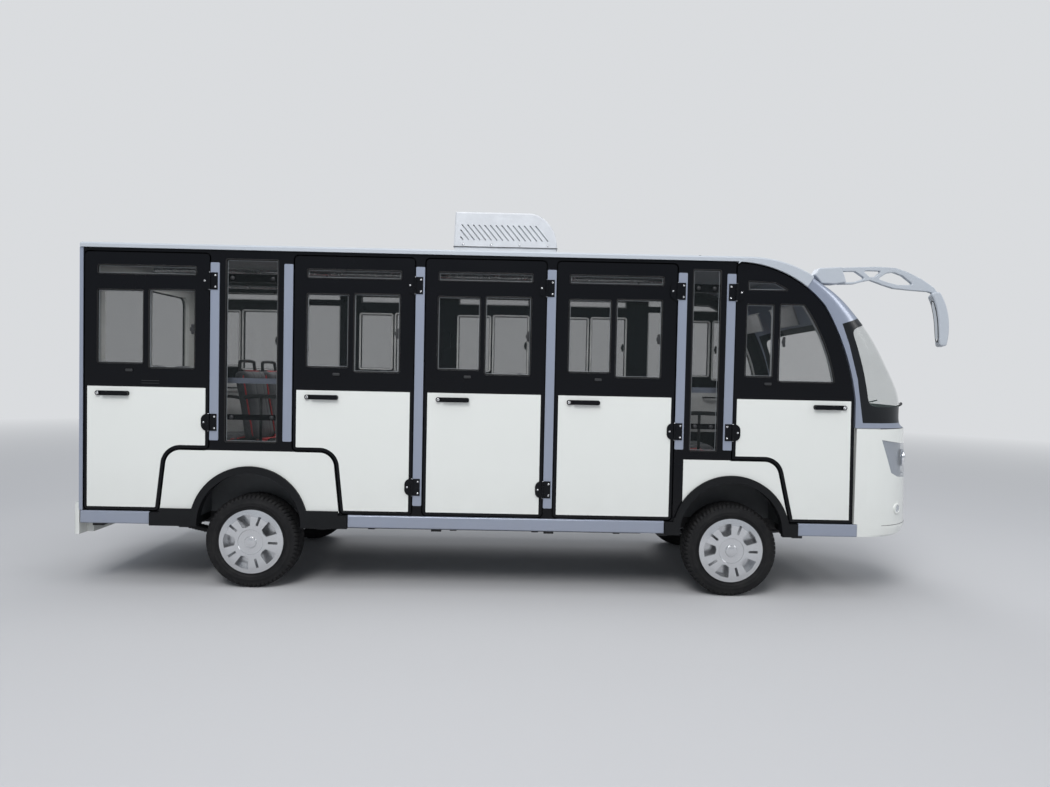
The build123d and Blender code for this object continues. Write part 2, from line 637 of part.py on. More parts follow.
def roof_shell():
    """Crowned roof with its edge bands, bent down over the front doors."""
    section = roof_section(0.0) - roof_section(ROOF_T)
    flat = extrude(Plane.YZ.offset(BODY_REAR) * section, ROOF_BEND_X - BODY_REAR)
    axis = Axis((ROOF_BEND_X, 0, ROOF_EDGE_TOP - ROOF_BEND_R), (0, 1, 0))
    bend = revolve(Plane.YZ.offset(ROOF_BEND_X) * section, axis, ROOF_BEND_DEG)
    back = extrude(Plane.YZ.offset(BODY_REAR) * roof_section(0.5), ROOF_T)
    sector = Pos(ROOF_BEND_X, ROOF_EDGE_TOP - ROOF_BEND_R) * Circle(ROOF_BEND_R - 14.0)
    reach = ROOF_BEND_R * 1.2
    turn = radians(ROOF_BEND_DEG)
    foot = (ROOF_BEND_X, ROOF_EDGE_TOP - ROOF_BEND_R)
    wedge = polygon([foot, (foot[0] + reach * sin(turn), foot[1] + reach * cos(turn)),
                     (foot[0] + 10.0, foot[1] + reach), (PILLARS["p6"] + PILLAR_W / 2 + 12.0, foot[1] + reach),
                     (PILLARS["p6"] + PILLAR_W / 2 + 12.0, foot[1] + 500.0)])
    band = (sector & wedge) - grown(leaf_face("5"), STRIP_GAP)
    band = band & rectangle(1300.0, 2100.0, 1790.0, HEADER_TOP + 30.0)
    side = max(slab(band, -ROOF_HALF_W, -ROOF_HALF_W + ROOF_T).solids(), key=lambda piece: piece.volume)
    return flat + bend + back + side + other_side(side)


def nose_section(z, x_side, corner, inset):
    """Plan outline of the front at one height: side, corner arc, bowed front."""
    r, y = corner - inset, SIDE_Y - inset
    turn = radians(NOSE_TURN)
    ex, ey = x_side + r * sin(turn), y - r + r * cos(turn)
    mx, my = x_side + r * sin(turn / 2), y - r + r * cos(turn / 2)
    xf = ex + ey * cos(turn) / (1 + sin(turn))
    back = NOSE_BACK - inset
    edges = [
        Line((back, -y), (x_side, -y)), ThreePointArc((x_side, -y), (mx, -my), (ex, -ey)),
        ThreePointArc((ex, -ey), (xf, 0), (ex, ey)), ThreePointArc((ex, ey), (mx, my), (x_side, y)),
        Line((x_side, y), (back, y)), Line((back, y), (back, -y)),
    ]
    return Pos(0, 0, z) * make_face(edges)


def nose_body(table, inset):
    """Solid front form through the sections of a table, moved inward; straight between them below the cowl."""
    sections = [nose_section(z, x, r, inset) for z, x, r in table]
    return loft(sections, ruled=table is NOSE_LOW)


def screen_face(grow):
    """Side view of the windscreen's opening, as seen past its near edge."""
    far = 3000.0
    tip_slope = (SCREEN_TIP[1] - SCREEN_NEAR[-1][1]) / (SCREEN_TIP[0] - SCREEN_NEAR[-1][0])
    far_top = SCREEN_TIP[1] + tip_slope * (far - SCREEN_TIP[0])
    face = polygon([*SCREEN_NEAR, (far, far_top), (far, SCREEN_NEAR[0][1])])
    return grown(face, grow) if grow else face


def front_shells():
    """Surround, windscreen, mask and head lamps, cut from two lofted shells."""
    width = SIDE_Y + 50.0
    high = nose_body(NOSE_HIGH, 0.0)
    shell = high - nose_body(NOSE_HIGH, SHELL_T)
    pane = high - nose_body(NOSE_HIGH, SCREEN_T)
    turn = radians(ROOF_BEND_DEG + ROOF_SEAM_DEG)
    foot = (ROOF_BEND_X, ROOF_EDGE_TOP - ROOF_BEND_R)
    brow = polygon([foot, (foot[0] + 1200.0 * sin(turn), foot[1] + 1200.0 * cos(turn)),
                    (foot[0] - 200.0, foot[1] + 1200.0), (foot[0] - 200.0, foot[1])])
    keep = rectangle(1700.0, 2900.0, 1000.0, 1960.0) - grown(leaf_face("5"), STRIP_GAP) - brow
    strips = keep - screen_face(0.0)
    surround = max((shell & slab(strips, -width, width)).solids(), key=lambda piece: piece.volume)
    screen = pane & slab(screen_face(-SCREEN_FIT), -width, width)
    low = nose_body(NOSE_LOW, 0.0) - nose_body(NOSE_LOW, SHELL_T)
    mask_face = rectangle(MASK_REAR, 2900.0, 300.0, 1100.0)
    mask_face = mask_face - rectangle(MASK_REAR - 10.0, SILLS[-1][1] + 2.0, 300.0, SILL_TOP + 2.0)
    lamp_face = polygon(LAMP_SIDE)
    lamp_zone = [slab(lamp_face, -width, -LAMP_INNER_Y), slab(lamp_face, LAMP_INNER_Y, width)]
    mask = low & slab(mask_face, -width, width)
    bracket = block(RAIL_FRONT, RAIL_FRONT + 300.0, -RAIL_Y_PLANES[1], -RAIL_Y_PLANES[0], *BRACKET_Z)
    for rib in both_sides(bracket & nose_body(NOSE_LOW, SHELL_T / 2)):
        mask += rib
    lamps = [mask & zone for zone in lamp_zone]
    for zone in lamp_zone:
        mask -= zone
    return surround, screen, mask, lamps


def rear_wall():
    """Rear panel with its window opening and the bumper below."""
    half_w, low, high = REAR_WINDOW
    panel = block(BODY_REAR, BODY_REAR + REAR_T, -INNER_Y, INNER_Y, RAIL_BOTTOM, HEADER_TOP)
    opening = fillet(Box(REAR_T * 3, 2 * half_w, high - low).edges().filter_by(Axis.X), REAR_WINDOW_R)
    panel -= Pos(BODY_REAR + REAR_T / 2, 0, (low + high) / 2) * opening
    bumper = block(BUMPER_REAR, BODY_REAR - BUMPER_OFF, -BUMPER_HALF_W, BUMPER_HALF_W, *BUMPER_Z)
    bumper = fillet(bumper.edges().filter_by(Axis.Z).group_by(Axis.X)[0], BUMPER_CORNER)
    mount = INNER_Y - 20.0
    bumper += block(BODY_REAR - BUMPER_OFF - 1.5, BODY_REAR + REAR_T, -mount, mount, BUMPER_Z[0], RAIL_BOTTOM + 1.0)
    return panel + bumper


def rear_glass():
    """Rear window pane, let into the panel's opening from outside."""
    half_w, low, high = REAR_WINDOW
    pane = Box(SCREEN_T, 2 * (half_w - GLASS_FIT), high - low - 2 * GLASS_FIT)
    pane = fillet(pane.edges().filter_by(Axis.X), REAR_WINDOW_R - GLASS_FIT)
    return Pos(BODY_REAR + REAR_PANE_IN, 0, (low + high) / 2) * pane


def tail_lamp():
    """Upright rear lamp on the panel."""
    lamp = block(BODY_REAR - TAIL_LAMP_T, BODY_REAR, -TAIL_LAMP_Y[1], -TAIL_LAMP_Y[0], *TAIL_LAMP_Z)
    return fillet(lamp.edges().filter_by(Axis.X), 18.0)


def air_unit():
    """Roof air unit: stepped base, rounded cover and slanted slots on each side."""
    start = AIR_FRONT - AIR_CURVE
    nose = Pos(start, AIR_FLANGE) * Ellipse(AIR_CURVE, AIR_TOP - AIR_FLANGE)
    face = polygon([(AIR_REAR, AIR_FLANGE), (start, AIR_FLANGE), (start, AIR_TOP), (AIR_REAR + AIR_LEAN, AIR_TOP)])
    face += nose & rectangle(start - 1.0, AIR_FRONT + 1.0, AIR_FLANGE, AIR_TOP + 1.0)
    cover = slab(face, -AIR_HALF_W, AIR_HALF_W)
    rims = [edge for edge in cover.faces().filter_by(Axis.Y).edges() if edge.center().Z > AIR_FLANGE + 1.0]
    unit = fillet(rims, AIR_EDGE_R)
    half = AIR_HALF_W - AIR_STEP
    unit += block(AIR_REAR + AIR_STEP, AIR_FRONT - AIR_STEP, -half, half, AIR_BASE_TOP, AIR_FLANGE + 1.0)
    for i in range(AIR_SLOTS):
        foot = AIR_SLOT_FOOT[0] + i * AIR_SLOT_PITCH
        run = min(AIR_SLOT_RUN, foot - AIR_SLOT_REAR)
        rise = run * AIR_SLOT_RISE / AIR_SLOT_RUN
        place = Pos(foot - run / 2, AIR_SLOT_FOOT[1] + rise / 2) * Rot(0, 0, degrees(atan2(-rise, run)))
        slot = place * SlotOverall(hypot(run, rise) + AIR_SLOT_W, AIR_SLOT_W)
        unit -= slab(slot, -AIR_HALF_W - 1.0, -AIR_HALF_W + AIR_SLOT_DEPTH)
        unit -= slab(slot, AIR_HALF_W - AIR_SLOT_DEPTH, AIR_HALF_W + 1.0)
    inner = AIR_HALF_W - SKIRT_INSET
    skirt = block(AIR_REAR + SKIRT_INSET, AIR_FRONT - SKIRT_INSET, -inner, inner, AIR_BASE - 8.0, AIR_BASE_TOP + 1.0)
    roof = extrude(Plane.YZ.offset(AIR_REAR) * roof_section(0.0), AIR_FRONT - AIR_REAR)
    return unit + (skirt - roof)


def mirror_head():
    """Hanging mirror head, its rear face turned a little inward."""
    rear, front = Spline(*HEAD_REAR).edge(), Spline(*HEAD_FRONT).edge()
    foot, top = Line(HEAD_REAR[-1], HEAD_FRONT[0]).edge(), Line(HEAD_FRONT[-1], HEAD_REAR[0]).edge()
    face = make_face([rear, foot, front, top])
    face = fillet(face.vertices(), HEAD_CORNER)
    width = HEAD_Y[0] - HEAD_Y[1]
    head = extrude(Plane.XZ.offset(HEAD_Y[0]) * face, amount=hypot(HEAD_TURN, width), dir=(HEAD_TURN, width, 0))
    sides = [side for side in head.faces() if abs(side.normal_at().Y) > 0.99]
    return fillet([edge for side in sides for edge in side.edges()], HEAD_EDGE_R)


def mirror_arm():
    """Pierced arm with its pod on the roof corner and the hanging head."""
    pod = slab(polygon(POD_SIDE, ARM_CORNER + 1.0), -ARM_Y - POD_HALF_W, -ARM_Y + POD_HALF_W)
    high = POD_SIDE[1][1] - 5.0
    pod = fillet([edge for edge in pod.faces().filter_by(Axis.Y).edges() if edge.center().Z > high], POD_EDGE_R)
    face = polygon(ARM_SIDE, ARM_CORNER)
    for opening in ARM_OPENINGS:
        face -= polygon(opening, ARM_CORNER)
    arm = slab(face, -ARM_Y - ARM_T / 2, -ARM_Y + ARM_T / 2)
    arm = fillet(arm.faces().filter_by(Axis.Y).edges(), ARM_EDGE_R)
    return pod + arm + mirror_head()


surround, screen, mask, lamps = front_shells()
side_panes = [slab(grown(face, GLASS_LAP - GLASS_FIT), -FRAME_Y + GLASS_DEPTH, -FRAME_Y + GLASS_DEPTH + GLASS_T)
              for face in narrow_faces()]
write("roof_shell", roof_shell())
write("roof_air_unit", air_unit())
write("windshield_surround", surround)
write("front_mask", mask)
write("lamps", lamps, both_sides(tail_lamp()))
write("fixed_glass", screen, rear_glass(), [both_sides(pane) for pane in side_panes])
write("rear_wall", rear_wall())
write("mirror_arms", both_sides(mirror_arm()))


# Ladder chassis below the floor
FLOOR_Z = 420.0
FLOOR_T = 12.0
CHASSIS_Z = (345.0, 420.0)
CHASSIS_X = (-2400.0, RAIL_FRONT)
CROSS_Z = (355.0, 420.0)
JACK_X = 860.0
JACK_PAD = 60.0
JACK_PAD_T = 6.0
CROSS_W = 60.0
CROSS_X = [-2370.0, -1850.0, -1030.0, -340.0, 340.0, 1030.0, 1850.0]
FRONT_CROSS = (2300.0, 600.0)
FLOOR_FRONT = 2150.0

# Axles and springs
AXLE_TUBE_R = 30.0
REAR_TUBE_R = 38.0
SPRING_HALF = 455.0
SPRING_T = 14.0
SPRING_LAP = 6.0
TUBE_SHORT = 30.0
SPINDLE_PAST = 30.0
YOKE_BACK = 34.0
YOKE_LUG = (38.0, 62.0)
YOKE_HALF = 26.0
YOKE_WEB = (-4.0, 20.0)
KINGPIN_R = 12.0
KINGPIN_PAST = 6.0
BOSS_R = 24.0
BOSS_HALF = 34.0
STEER_ARM = 130.0
STEER_ARM_HALF = 9.0
STEER_ARM_DROP = (20.0, 4.0)

# Final drive, and the motor ahead of it: place, radius, ends before the axle
DRIVE_R = 105.0
MOTOR_Y = 60.0
MOTOR_RISE = 5.0
MOTOR_R = 85.0
MOTOR_X = (40.0, 340.0)

# Seats: back at the floor of each row, seat height, half widths of the places
ROWS = [(-2335.0, 840.0), (-1560.0, 890.0), (-690.0, 840.0), (180.0, 840.0)]
BENCH_PLACES = [-400.0, 0.0, 400.0]
FRONT_ROW = (1130.0, 840.0)
FRONT_PLACES = [-330.0, 330.0]
PLACE_W = 392.0
FRONT_PLACE_W = 480.0
SEAT_DEPTH = 440.0
SEAT_T = 110.0
BACK_H = 440.0
BACK_T = 95.0
BACK_LEAN = 70.0
SEAT_NOSE_DROP = 12.0
SEAT_HEEL_DROP = 26.0
SEAT_HEEL = 14.0
SEAT_CORNER = 11.0
SEAT_FIT = 0.3
SEAT_BOX_INSET = (30.0, 20.0)

# Steering wheel and column
COLUMN_TOP = (1800.0, 330.0, 1085.0)
COLUMN_TILT = 39.0
COLUMN_R = 12.0
COLUMN_L = 330.0
COLUMN_PAST = 10.0
SHROUD_R = 30.0
SHROUD_BACK = 50.0
WHEEL_RING_R = 185.0
WHEEL_GRIP_R = 14.0
WHEEL_HUB = (34.0, 44.0, -12.0)
WHEEL_BORE = (62.0, -20.0)
SPOKE_TURNS = (90.0, 210.0, 330.0)
SPOKE_W = 34.0
SPOKE_T = 9.0
SPOKE_DROP = 4.0

# Dashboard in side view, and the upright below it
DASH_SIDE = [
    (2010.0, 700.0), (2140.0, 640.0), (2190.0, 900.0), (2190.0, 1010.0), (2060.0, 1024.0), (1985.0, 960.0),
    (1975.0, 860.0),
]
DASH_CORNER = 18.0
DASH_INSET = 30.0
DASH_FOOT = (2050.0, 2100.0, 90.0, 700.0)


def housing(centre, inner_y):
    """Open wheel housing let into the floor on the right-hand side."""
    x0, x1 = centre - HOUSING_HALF, centre + HOUSING_HALF
    wall = HOUSING_WALL
    outer = block(x0, x1, -INNER_Y, -inner_y, FLOOR_Z, HOUSING_TOP)
    inner = block(x0 + wall, x1 - wall, -INNER_Y - 5.0, -inner_y - wall, FLOOR_Z - 50.0, HOUSING_TOP - wall)
    return outer, inner


def floor_deck():
    """Floor plate with four wheel housings and the seat boxes."""
    deck = block(BODY_REAR + REAR_T, FLOOR_FRONT, -INNER_Y, INNER_Y, FLOOR_Z, FLOOR_Z + FLOOR_T)
    for centre, inner_y in ((-AXLE_X, REAR_HOUSING_Y), (AXLE_X, FRONT_HOUSING_Y)):
        outer, inner = housing(centre, inner_y)
        deck = (deck + outer + other_side(outer)) - inner - other_side(inner)
    for (back, seat_z), half in [(row, REAR_HOUSING_Y - 20.0) for row in ROWS] + [(FRONT_ROW, FRONT_HOUSING_Y)]:
        deck += block(back + SEAT_BOX_INSET[0], back + SEAT_DEPTH - SEAT_BOX_INSET[1], -half, half,
                      FLOOR_Z + FLOOR_T - 1.0, seat_z - SEAT_T - SEAT_FIT)
    return deck


def chassis():
    """Two long rails with cross members out to the sills."""
    frame = None
    for side in (-1, 1):
        rail = block(*CHASSIS_X, side * RAIL_Y_PLANES[0], side * RAIL_Y_PLANES[1], *CHASSIS_Z)
        frame = rail if frame is None else frame + rail
    for x in CROSS_X:
        frame += block(x - CROSS_W / 2, x + CROSS_W / 2, -INNER_Y, INNER_Y, *CROSS_Z)
    x, half = FRONT_CROSS
    frame += block(x - CROSS_W / 2, x + CROSS_W / 2, -half, half, *CROSS_Z)
    for x in (-JACK_X, JACK_X):
        pad = block(x - JACK_PAD / 2, x + JACK_PAD / 2, -RAIL_Y_PLANES[1], -RAIL_Y_PLANES[0],
                    CHASSIS_Z[0] - JACK_PAD_T, CHASSIS_Z[0])
        frame = frame + pad + other_side(pad)
    return frame


def spring(centre, tube_r):
    """Leaf spring between a rail and the axle tube below it."""
    low = TYRE_R + tube_r
    top = CHASSIS_Z[0]
    half = SPRING_HALF
    under = ThreePointArc((centre - half, top - SPRING_T), (centre, low), (centre + half, top - SPRING_T))
    over = ThreePointArc((centre + half, top), (centre, low + SPRING_T), (centre - half, top))
    ends = [Line((centre + half, top - SPRING_T), (centre + half, top)),
            Line((centre - half, top), (centre - half, top - SPRING_T))]
    face = make_face([*under.edges(), *over.edges(), *ends[0].edges(), *ends[1].edges()])
    return slab(face, -RAIL_Y_PLANES[1], -RAIL_Y_PLANES[0])


def rear_axle():
    """Rear tube with springs, final drive, motor and the wheel spindles."""
    tube_end = KINGPIN_Y - TUBE_SHORT
    spindle_end = TYRE_MID_Y + SPINDLE_PAST
    axle = rod_y(-AXLE_X, TYRE_R, REAR_TUBE_R, -tube_end, tube_end)
    axle += rod_y(-AXLE_X, TYRE_R, SPINDLE_R, -spindle_end, spindle_end)
    axle += Pos(-AXLE_X, 0, TYRE_R) * Sphere(DRIVE_R)
    axle += rod_x(MOTOR_Y, TYRE_R + MOTOR_RISE, MOTOR_R, -AXLE_X + MOTOR_X[0], -AXLE_X + MOTOR_X[1])
    for side in both_sides(spring(-AXLE_X, REAR_TUBE_R - SPRING_LAP)):
        axle += side
    return axle


def front_axle():
    """Front beam with springs and a forked yoke for each kingpin."""
    end = KINGPIN_Y - YOKE_BACK
    beam = rod_y(AXLE_X, TYRE_R, AXLE_TUBE_R, -end, end)
    for spring_side in both_sides(spring(AXLE_X, AXLE_TUBE_R - SPRING_LAP)):
        beam += spring_side
    near, far = YOKE_LUG
    rear, front = AXLE_X - YOKE_HALF, AXLE_X + YOKE_HALF
    web = block(rear, front, -end + YOKE_WEB[0], -end + YOKE_WEB[1], TYRE_R - far, TYRE_R + far)
    for low, high in ((-far, -near), (near, far)):
        web += rod_z(AXLE_X, -KINGPIN_Y, YOKE_HALF, TYRE_R + low, TYRE_R + high)
        web += block(rear, front, -KINGPIN_Y, -end + 1.0, TYRE_R + low, TYRE_R + high)
    web -= rod_z(AXLE_X, -KINGPIN_Y, KINGPIN_R + SPIN_FIT, TYRE_R - far - 1.0, TYRE_R + far + 1.0)
    return beam + web + other_side(web)


def knuckle():
    """Right-hand steering knuckle: boss, kingpin, spindle and steering arm."""
    pin_half = YOKE_LUG[1] + KINGPIN_PAST
    body = rod_z(AXLE_X, -KINGPIN_Y, BOSS_R, TYRE_R - BOSS_HALF, TYRE_R + BOSS_HALF)
    body += rod_z(AXLE_X, -KINGPIN_Y, KINGPIN_R, TYRE_R - pin_half, TYRE_R + pin_half)
    body += rod_y(AXLE_X, TYRE_R, SPINDLE_R, -TYRE_MID_Y - SPINDLE_PAST, -KINGPIN_Y)
    body += block(AXLE_X - STEER_ARM, AXLE_X, -KINGPIN_Y - STEER_ARM_HALF, -KINGPIN_Y + STEER_ARM_HALF,
                  TYRE_R - STEER_ARM_DROP[0], TYRE_R - STEER_ARM_DROP[1])
    return body


def turned(points, x, side):
    """Ring about a wheel axis from its half section (radius, distance outward)."""
    profile = make_face(Polyline(*[(r, side * y) for r, y in points], close=True))
    ring = revolve(profile, Axis.Y, 360)
    return Pos(x, side * TYRE_MID_Y, TYRE_R) * ring


TYRE_BEAD = RIM_R + 0.3
TYRE_HALF = [(TYRE_BEAD, 62.0), (190.0, 66.0), (228.0, TYRE_WIDTH / 2), (264.0, 76.0), (TYRE_R, 52.0)]
TYRE_POINTS = [*TYRE_HALF, *[(r, -y) for r, y in reversed(TYRE_HALF)]]
WHEEL_POINTS = [
    (170.0, -70.0), (187.0, -70.0), (187.0, -67.0), (RIM_R, -66.0), (RIM_R, 66.0), (187.0, 67.0), (187.0, 72.0),
    (COVER_R, 72.0), (COVER_R, 78.0), (152.0, 88.0), (76.0, 90.0), (73.0, 86.0), (37.0, 86.0), (34.0, 90.0),
    (0.0, 90.0), (0.0, 82.0), (146.0, 80.0), (170.0, 71.0),
]
DISC_POINTS = [(HUB_R, 24.0), (HUB_R, 12.0), (RIM_R - 4.0, 12.0), (RIM_R - 4.0, 24.0)]
BORE_R = SPINDLE_R + SPIN_FIT
HUB_POINTS = [(BORE_R, -10.0), (46.0, -10.0), (46.0, 36.0), (BORE_R, 36.0)]

# Windows of a wheel cover: outline on the axis that points outward, and the
# turn of the first one
COVER_WINDOWS = [
    ([(96.0, -24.0), (158.0, -44.0), (166.0, 0.0), (158.0, 44.0), (96.0, 24.0), (90.0, 0.0)], 34.0),
    ([(104.0, -7.0), (160.0, -8.0), (160.0, 8.0), (104.0, 7.0)], -2.0),
]
WINDOW_CUT = (60.0, 100.0)


def wheel(x, side):
    """Wheel with its disc, hub and the slotted cover over it."""
    body = turned(WHEEL_POINTS, x, side) + turned(DISC_POINTS, x, side) + turned(HUB_POINTS, x, side)
    inner = side * (TYRE_MID_Y + WINDOW_CUT[0])
    outer = side * (TYRE_MID_Y + WINDOW_CUT[1])
    for points, start in COVER_WINDOWS:
        for i in range(COVER_SPOKES):
            turn = start + i * 360.0 / COVER_SPOKES
            face = Pos(x, TYRE_R) * Rot(0, 0, turn) * polygon(points, 3.0)
            body -= slab(face, outer, inner)
    return body


def seat(back_x, seat_z, place_y, width):
    """One seat: cushion with its leaning back."""
    x, z = back_x, seat_z
    face = polygon([
        (x, z - SEAT_T), (x + SEAT_DEPTH, z - SEAT_T), (x + SEAT_DEPTH, z - SEAT_NOSE_DROP),
        (x + BACK_T + SEAT_HEEL, z - SEAT_HEEL_DROP), (x + BACK_T - BACK_LEAN, z + BACK_H),
        (x - BACK_LEAN, z + BACK_H),
    ], SEAT_CORNER)
    return slab(face, place_y - width / 2, place_y + width / 2)


def seats():
    """Driver and passenger places, then four benches of three."""
    places = [seat(*FRONT_ROW, y, FRONT_PLACE_W) for y in FRONT_PLACES]
    for row in ROWS:
        places += [seat(*row, y, PLACE_W) for y in BENCH_PLACES]
    return places


def column_frame():
    """Plane at the top of the column, its normal along the column."""
    direction = (-cos(radians(COLUMN_TILT)), 0, sin(radians(COLUMN_TILT)))
    return Plane(origin=COLUMN_TOP, z_dir=direction, x_dir=(0, 1, 0))


def dashboard():
    """Pale dashboard across the cab with the steering column on the left."""
    panel = slab(polygon(DASH_SIDE, DASH_CORNER), -INNER_Y + DASH_INSET, INNER_Y - DASH_INSET)
    rear, front, inset, high = DASH_FOOT
    foot = block(rear, front, -INNER_Y + inset, INNER_Y - inset, FLOOR_Z + FLOOR_T, high)
    top = column_frame()
    shroud = top * Pos(0, 0, -(COLUMN_L + SHROUD_BACK) / 2) * Cylinder(SHROUD_R, COLUMN_L - SHROUD_BACK)
    shaft = top * Pos(0, 0, -COLUMN_L / 2 + COLUMN_PAST) * Cylinder(COLUMN_R, COLUMN_L)
    return panel + foot + shroud + shaft


def steering_wheel():
    """Ring, three spokes and the bored hub on the column's shaft."""
    top = column_frame()
    ring = Torus(WHEEL_RING_R, WHEEL_GRIP_R)
    hub_r, hub_l, hub_z = WHEEL_HUB
    body = ring + Pos(0, 0, hub_z) * Cylinder(hub_r, hub_l)
    spoke_near, spoke_far = hub_r - 6.0, WHEEL_RING_R - 3.0
    spoke = Box(spoke_far - spoke_near, SPOKE_W, SPOKE_T)
    for turn in SPOKE_TURNS:
        body += Rot(0, 0, turn) * Pos((spoke_near + spoke_far) / 2, 0, -SPOKE_DROP) * spoke
    body -= Pos(0, 0, WHEEL_BORE[1]) * Cylinder(COLUMN_R + SPIN_FIT, WHEEL_BORE[0])
    return top * body


# Battery pack: rear end, front end, half width, underside
BATTERY = (-960.0, 960.0, 330.0, 288.0)

write("floor_deck", floor_deck())
write("chassis_frame", chassis())
write("battery_pack", block(BATTERY[0], BATTERY[1], -BATTERY[2], BATTERY[2], BATTERY[3], CROSS_Z[0]))
write("rear_axle", rear_axle())
write("front_axle", front_axle())
write("knuckle_right", knuckle())
write("knuckle_left", other_side(knuckle()))
for label, x, side in (("front_right", AXLE_X, -1), ("front_left", AXLE_X, 1),
                       ("rear_right", -AXLE_X, -1), ("rear_left", -AXLE_X, 1)):
    write(f"tyre_{label}", turned(TYRE_POINTS, x, side))
    write(f"wheel_{label}", wheel(x, side))
write("seats", seats())
write("dashboard", dashboard())
write("steering_wheel", steering_wheel())
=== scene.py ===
"""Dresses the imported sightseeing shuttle: finishes, tyres, seats, seals, screws, lamps, mirrors and cab."""

import json
from math import atan2, cos, hypot, pi, radians, sin

import bmesh
import bpy
import numpy as np
from bpy.props import FloatProperty, FloatVectorProperty, IntProperty
from mathutils import Matrix, Vector
from mathutils.bvhtree import BVHTree


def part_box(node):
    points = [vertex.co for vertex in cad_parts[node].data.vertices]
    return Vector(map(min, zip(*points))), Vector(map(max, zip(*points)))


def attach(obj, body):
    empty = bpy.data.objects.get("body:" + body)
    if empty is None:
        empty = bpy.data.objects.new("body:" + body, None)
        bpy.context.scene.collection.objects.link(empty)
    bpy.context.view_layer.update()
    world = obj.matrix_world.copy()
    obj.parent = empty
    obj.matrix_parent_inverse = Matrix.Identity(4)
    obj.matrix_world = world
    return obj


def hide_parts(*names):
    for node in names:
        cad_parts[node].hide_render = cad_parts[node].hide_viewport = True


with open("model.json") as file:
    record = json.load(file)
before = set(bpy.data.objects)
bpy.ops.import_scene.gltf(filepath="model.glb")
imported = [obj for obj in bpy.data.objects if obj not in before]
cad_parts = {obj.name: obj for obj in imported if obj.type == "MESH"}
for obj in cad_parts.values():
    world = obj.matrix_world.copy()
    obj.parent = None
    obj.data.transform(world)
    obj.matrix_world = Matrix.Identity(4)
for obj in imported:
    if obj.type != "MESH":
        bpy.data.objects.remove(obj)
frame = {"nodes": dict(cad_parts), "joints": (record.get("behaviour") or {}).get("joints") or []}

bl_info = {
    "name": "Sightseeing shuttle dressing",
    "version": (1, 0, 0),
    "blender": (4, 5, 0),
    "location": "View3D > Sidebar > Shuttle",
    "description": "Builds the soft parts, small fittings and finishes of an enclosed sightseeing shuttle",
    "category": "Object",
}

NODES = frame["nodes"]
JOINTS = {joint["name"]: joint for joint in frame["joints"]}
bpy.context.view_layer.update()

SIDES = {"r": -1.0, "l": 1.0}
DOORS = [side + number for side in SIDES for number in "12345"]
CORNERS = [end + "_" + side for end in ("front", "rear") for side in ("right", "left")]


def middle(node):
    """Centre of a CAD node's box."""
    low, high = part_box(node)
    return (low + high) / 2


AXLE_FRONT = middle("wheel_front_right").x
AXLE_REAR = middle("wheel_rear_right").x
TYRE_RADIUS = middle("tyre_front_right").z
SKIN_Y = abs(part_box("door_r2_skin")[0].y)
AHEAD, BACK, UP = Vector((1, 0, 0)), Vector((-1, 0, 0)), Vector((0, 0, 1))


# Meshes


def new_object(name, mesh):
    """Object at the origin that holds the mesh."""
    piece = bpy.data.objects.new(name, mesh)
    bpy.context.scene.collection.objects.link(piece)
    return piece


def mesh_piece(name, points, faces, smooth=True):
    """Piece from points and faces, with its normals turned outward."""
    mesh = bpy.data.meshes.new(name)
    mesh.from_pydata([tuple(p) for p in points], [], faces)
    return tidy(new_object(name, mesh), smooth)


def tidy(piece, smooth=True, merge=1e-6):
    """Merges doubles, turns faces outward and shades them."""
    bm = bmesh.new()
    bm.from_mesh(piece.data)
    bmesh.ops.remove_doubles(bm, verts=bm.verts, dist=merge)
    bmesh.ops.recalc_face_normals(bm, faces=bm.faces)
    for face in bm.faces:
        face.smooth = smooth
    bm.to_mesh(piece.data)
    bm.free()
    return piece


def joined(name, pieces):
    """One piece from several, in place of them."""
    bm = bmesh.new()
    for piece in pieces:
        bm.from_mesh(piece.data)
        mesh = piece.data
        bpy.data.objects.remove(piece)
        bpy.data.meshes.remove(mesh)
    mesh = bpy.data.meshes.new(name)
    bm.to_mesh(mesh)
    bm.free()
    return new_object(name, mesh)


def baked(piece):
    """The piece with its modifiers applied to its mesh."""
    evaluated = piece.evaluated_get(bpy.context.evaluated_depsgraph_get())
    mesh = bpy.data.meshes.new_from_object(evaluated)
    piece.modifiers.clear()
    old = piece.data
    piece.data = mesh
    if old.users == 0:
        bpy.data.meshes.remove(old)
    return piece


def rounded(piece, width, segments=3, angle=35.0):
    """Rounds the sharp edges of a piece."""
    bevel = piece.modifiers.new("round", "BEVEL")
    bevel.width = width
    bevel.segments = segments
    bevel.limit_method = "ANGLE"
    bevel.angle_limit = radians(angle)
    piece = baked(piece)
    for polygon in piece.data.polygons:
        polygon.use_smooth = True
    return piece


def band(a, b, n, count=None):
    """Faces between two rings of n points, which start at points a and b, or only the first faces."""
    return [(a + k, a + (k + 1) % n, b + (k + 1) % n, b + k) for k in range(n if count is None else count)]


def ray_at(degrees):
    """Direction in side view, measured from ahead toward up."""
    turn = radians(degrees)
    return Vector((cos(turn), 0.0, sin(turn)))


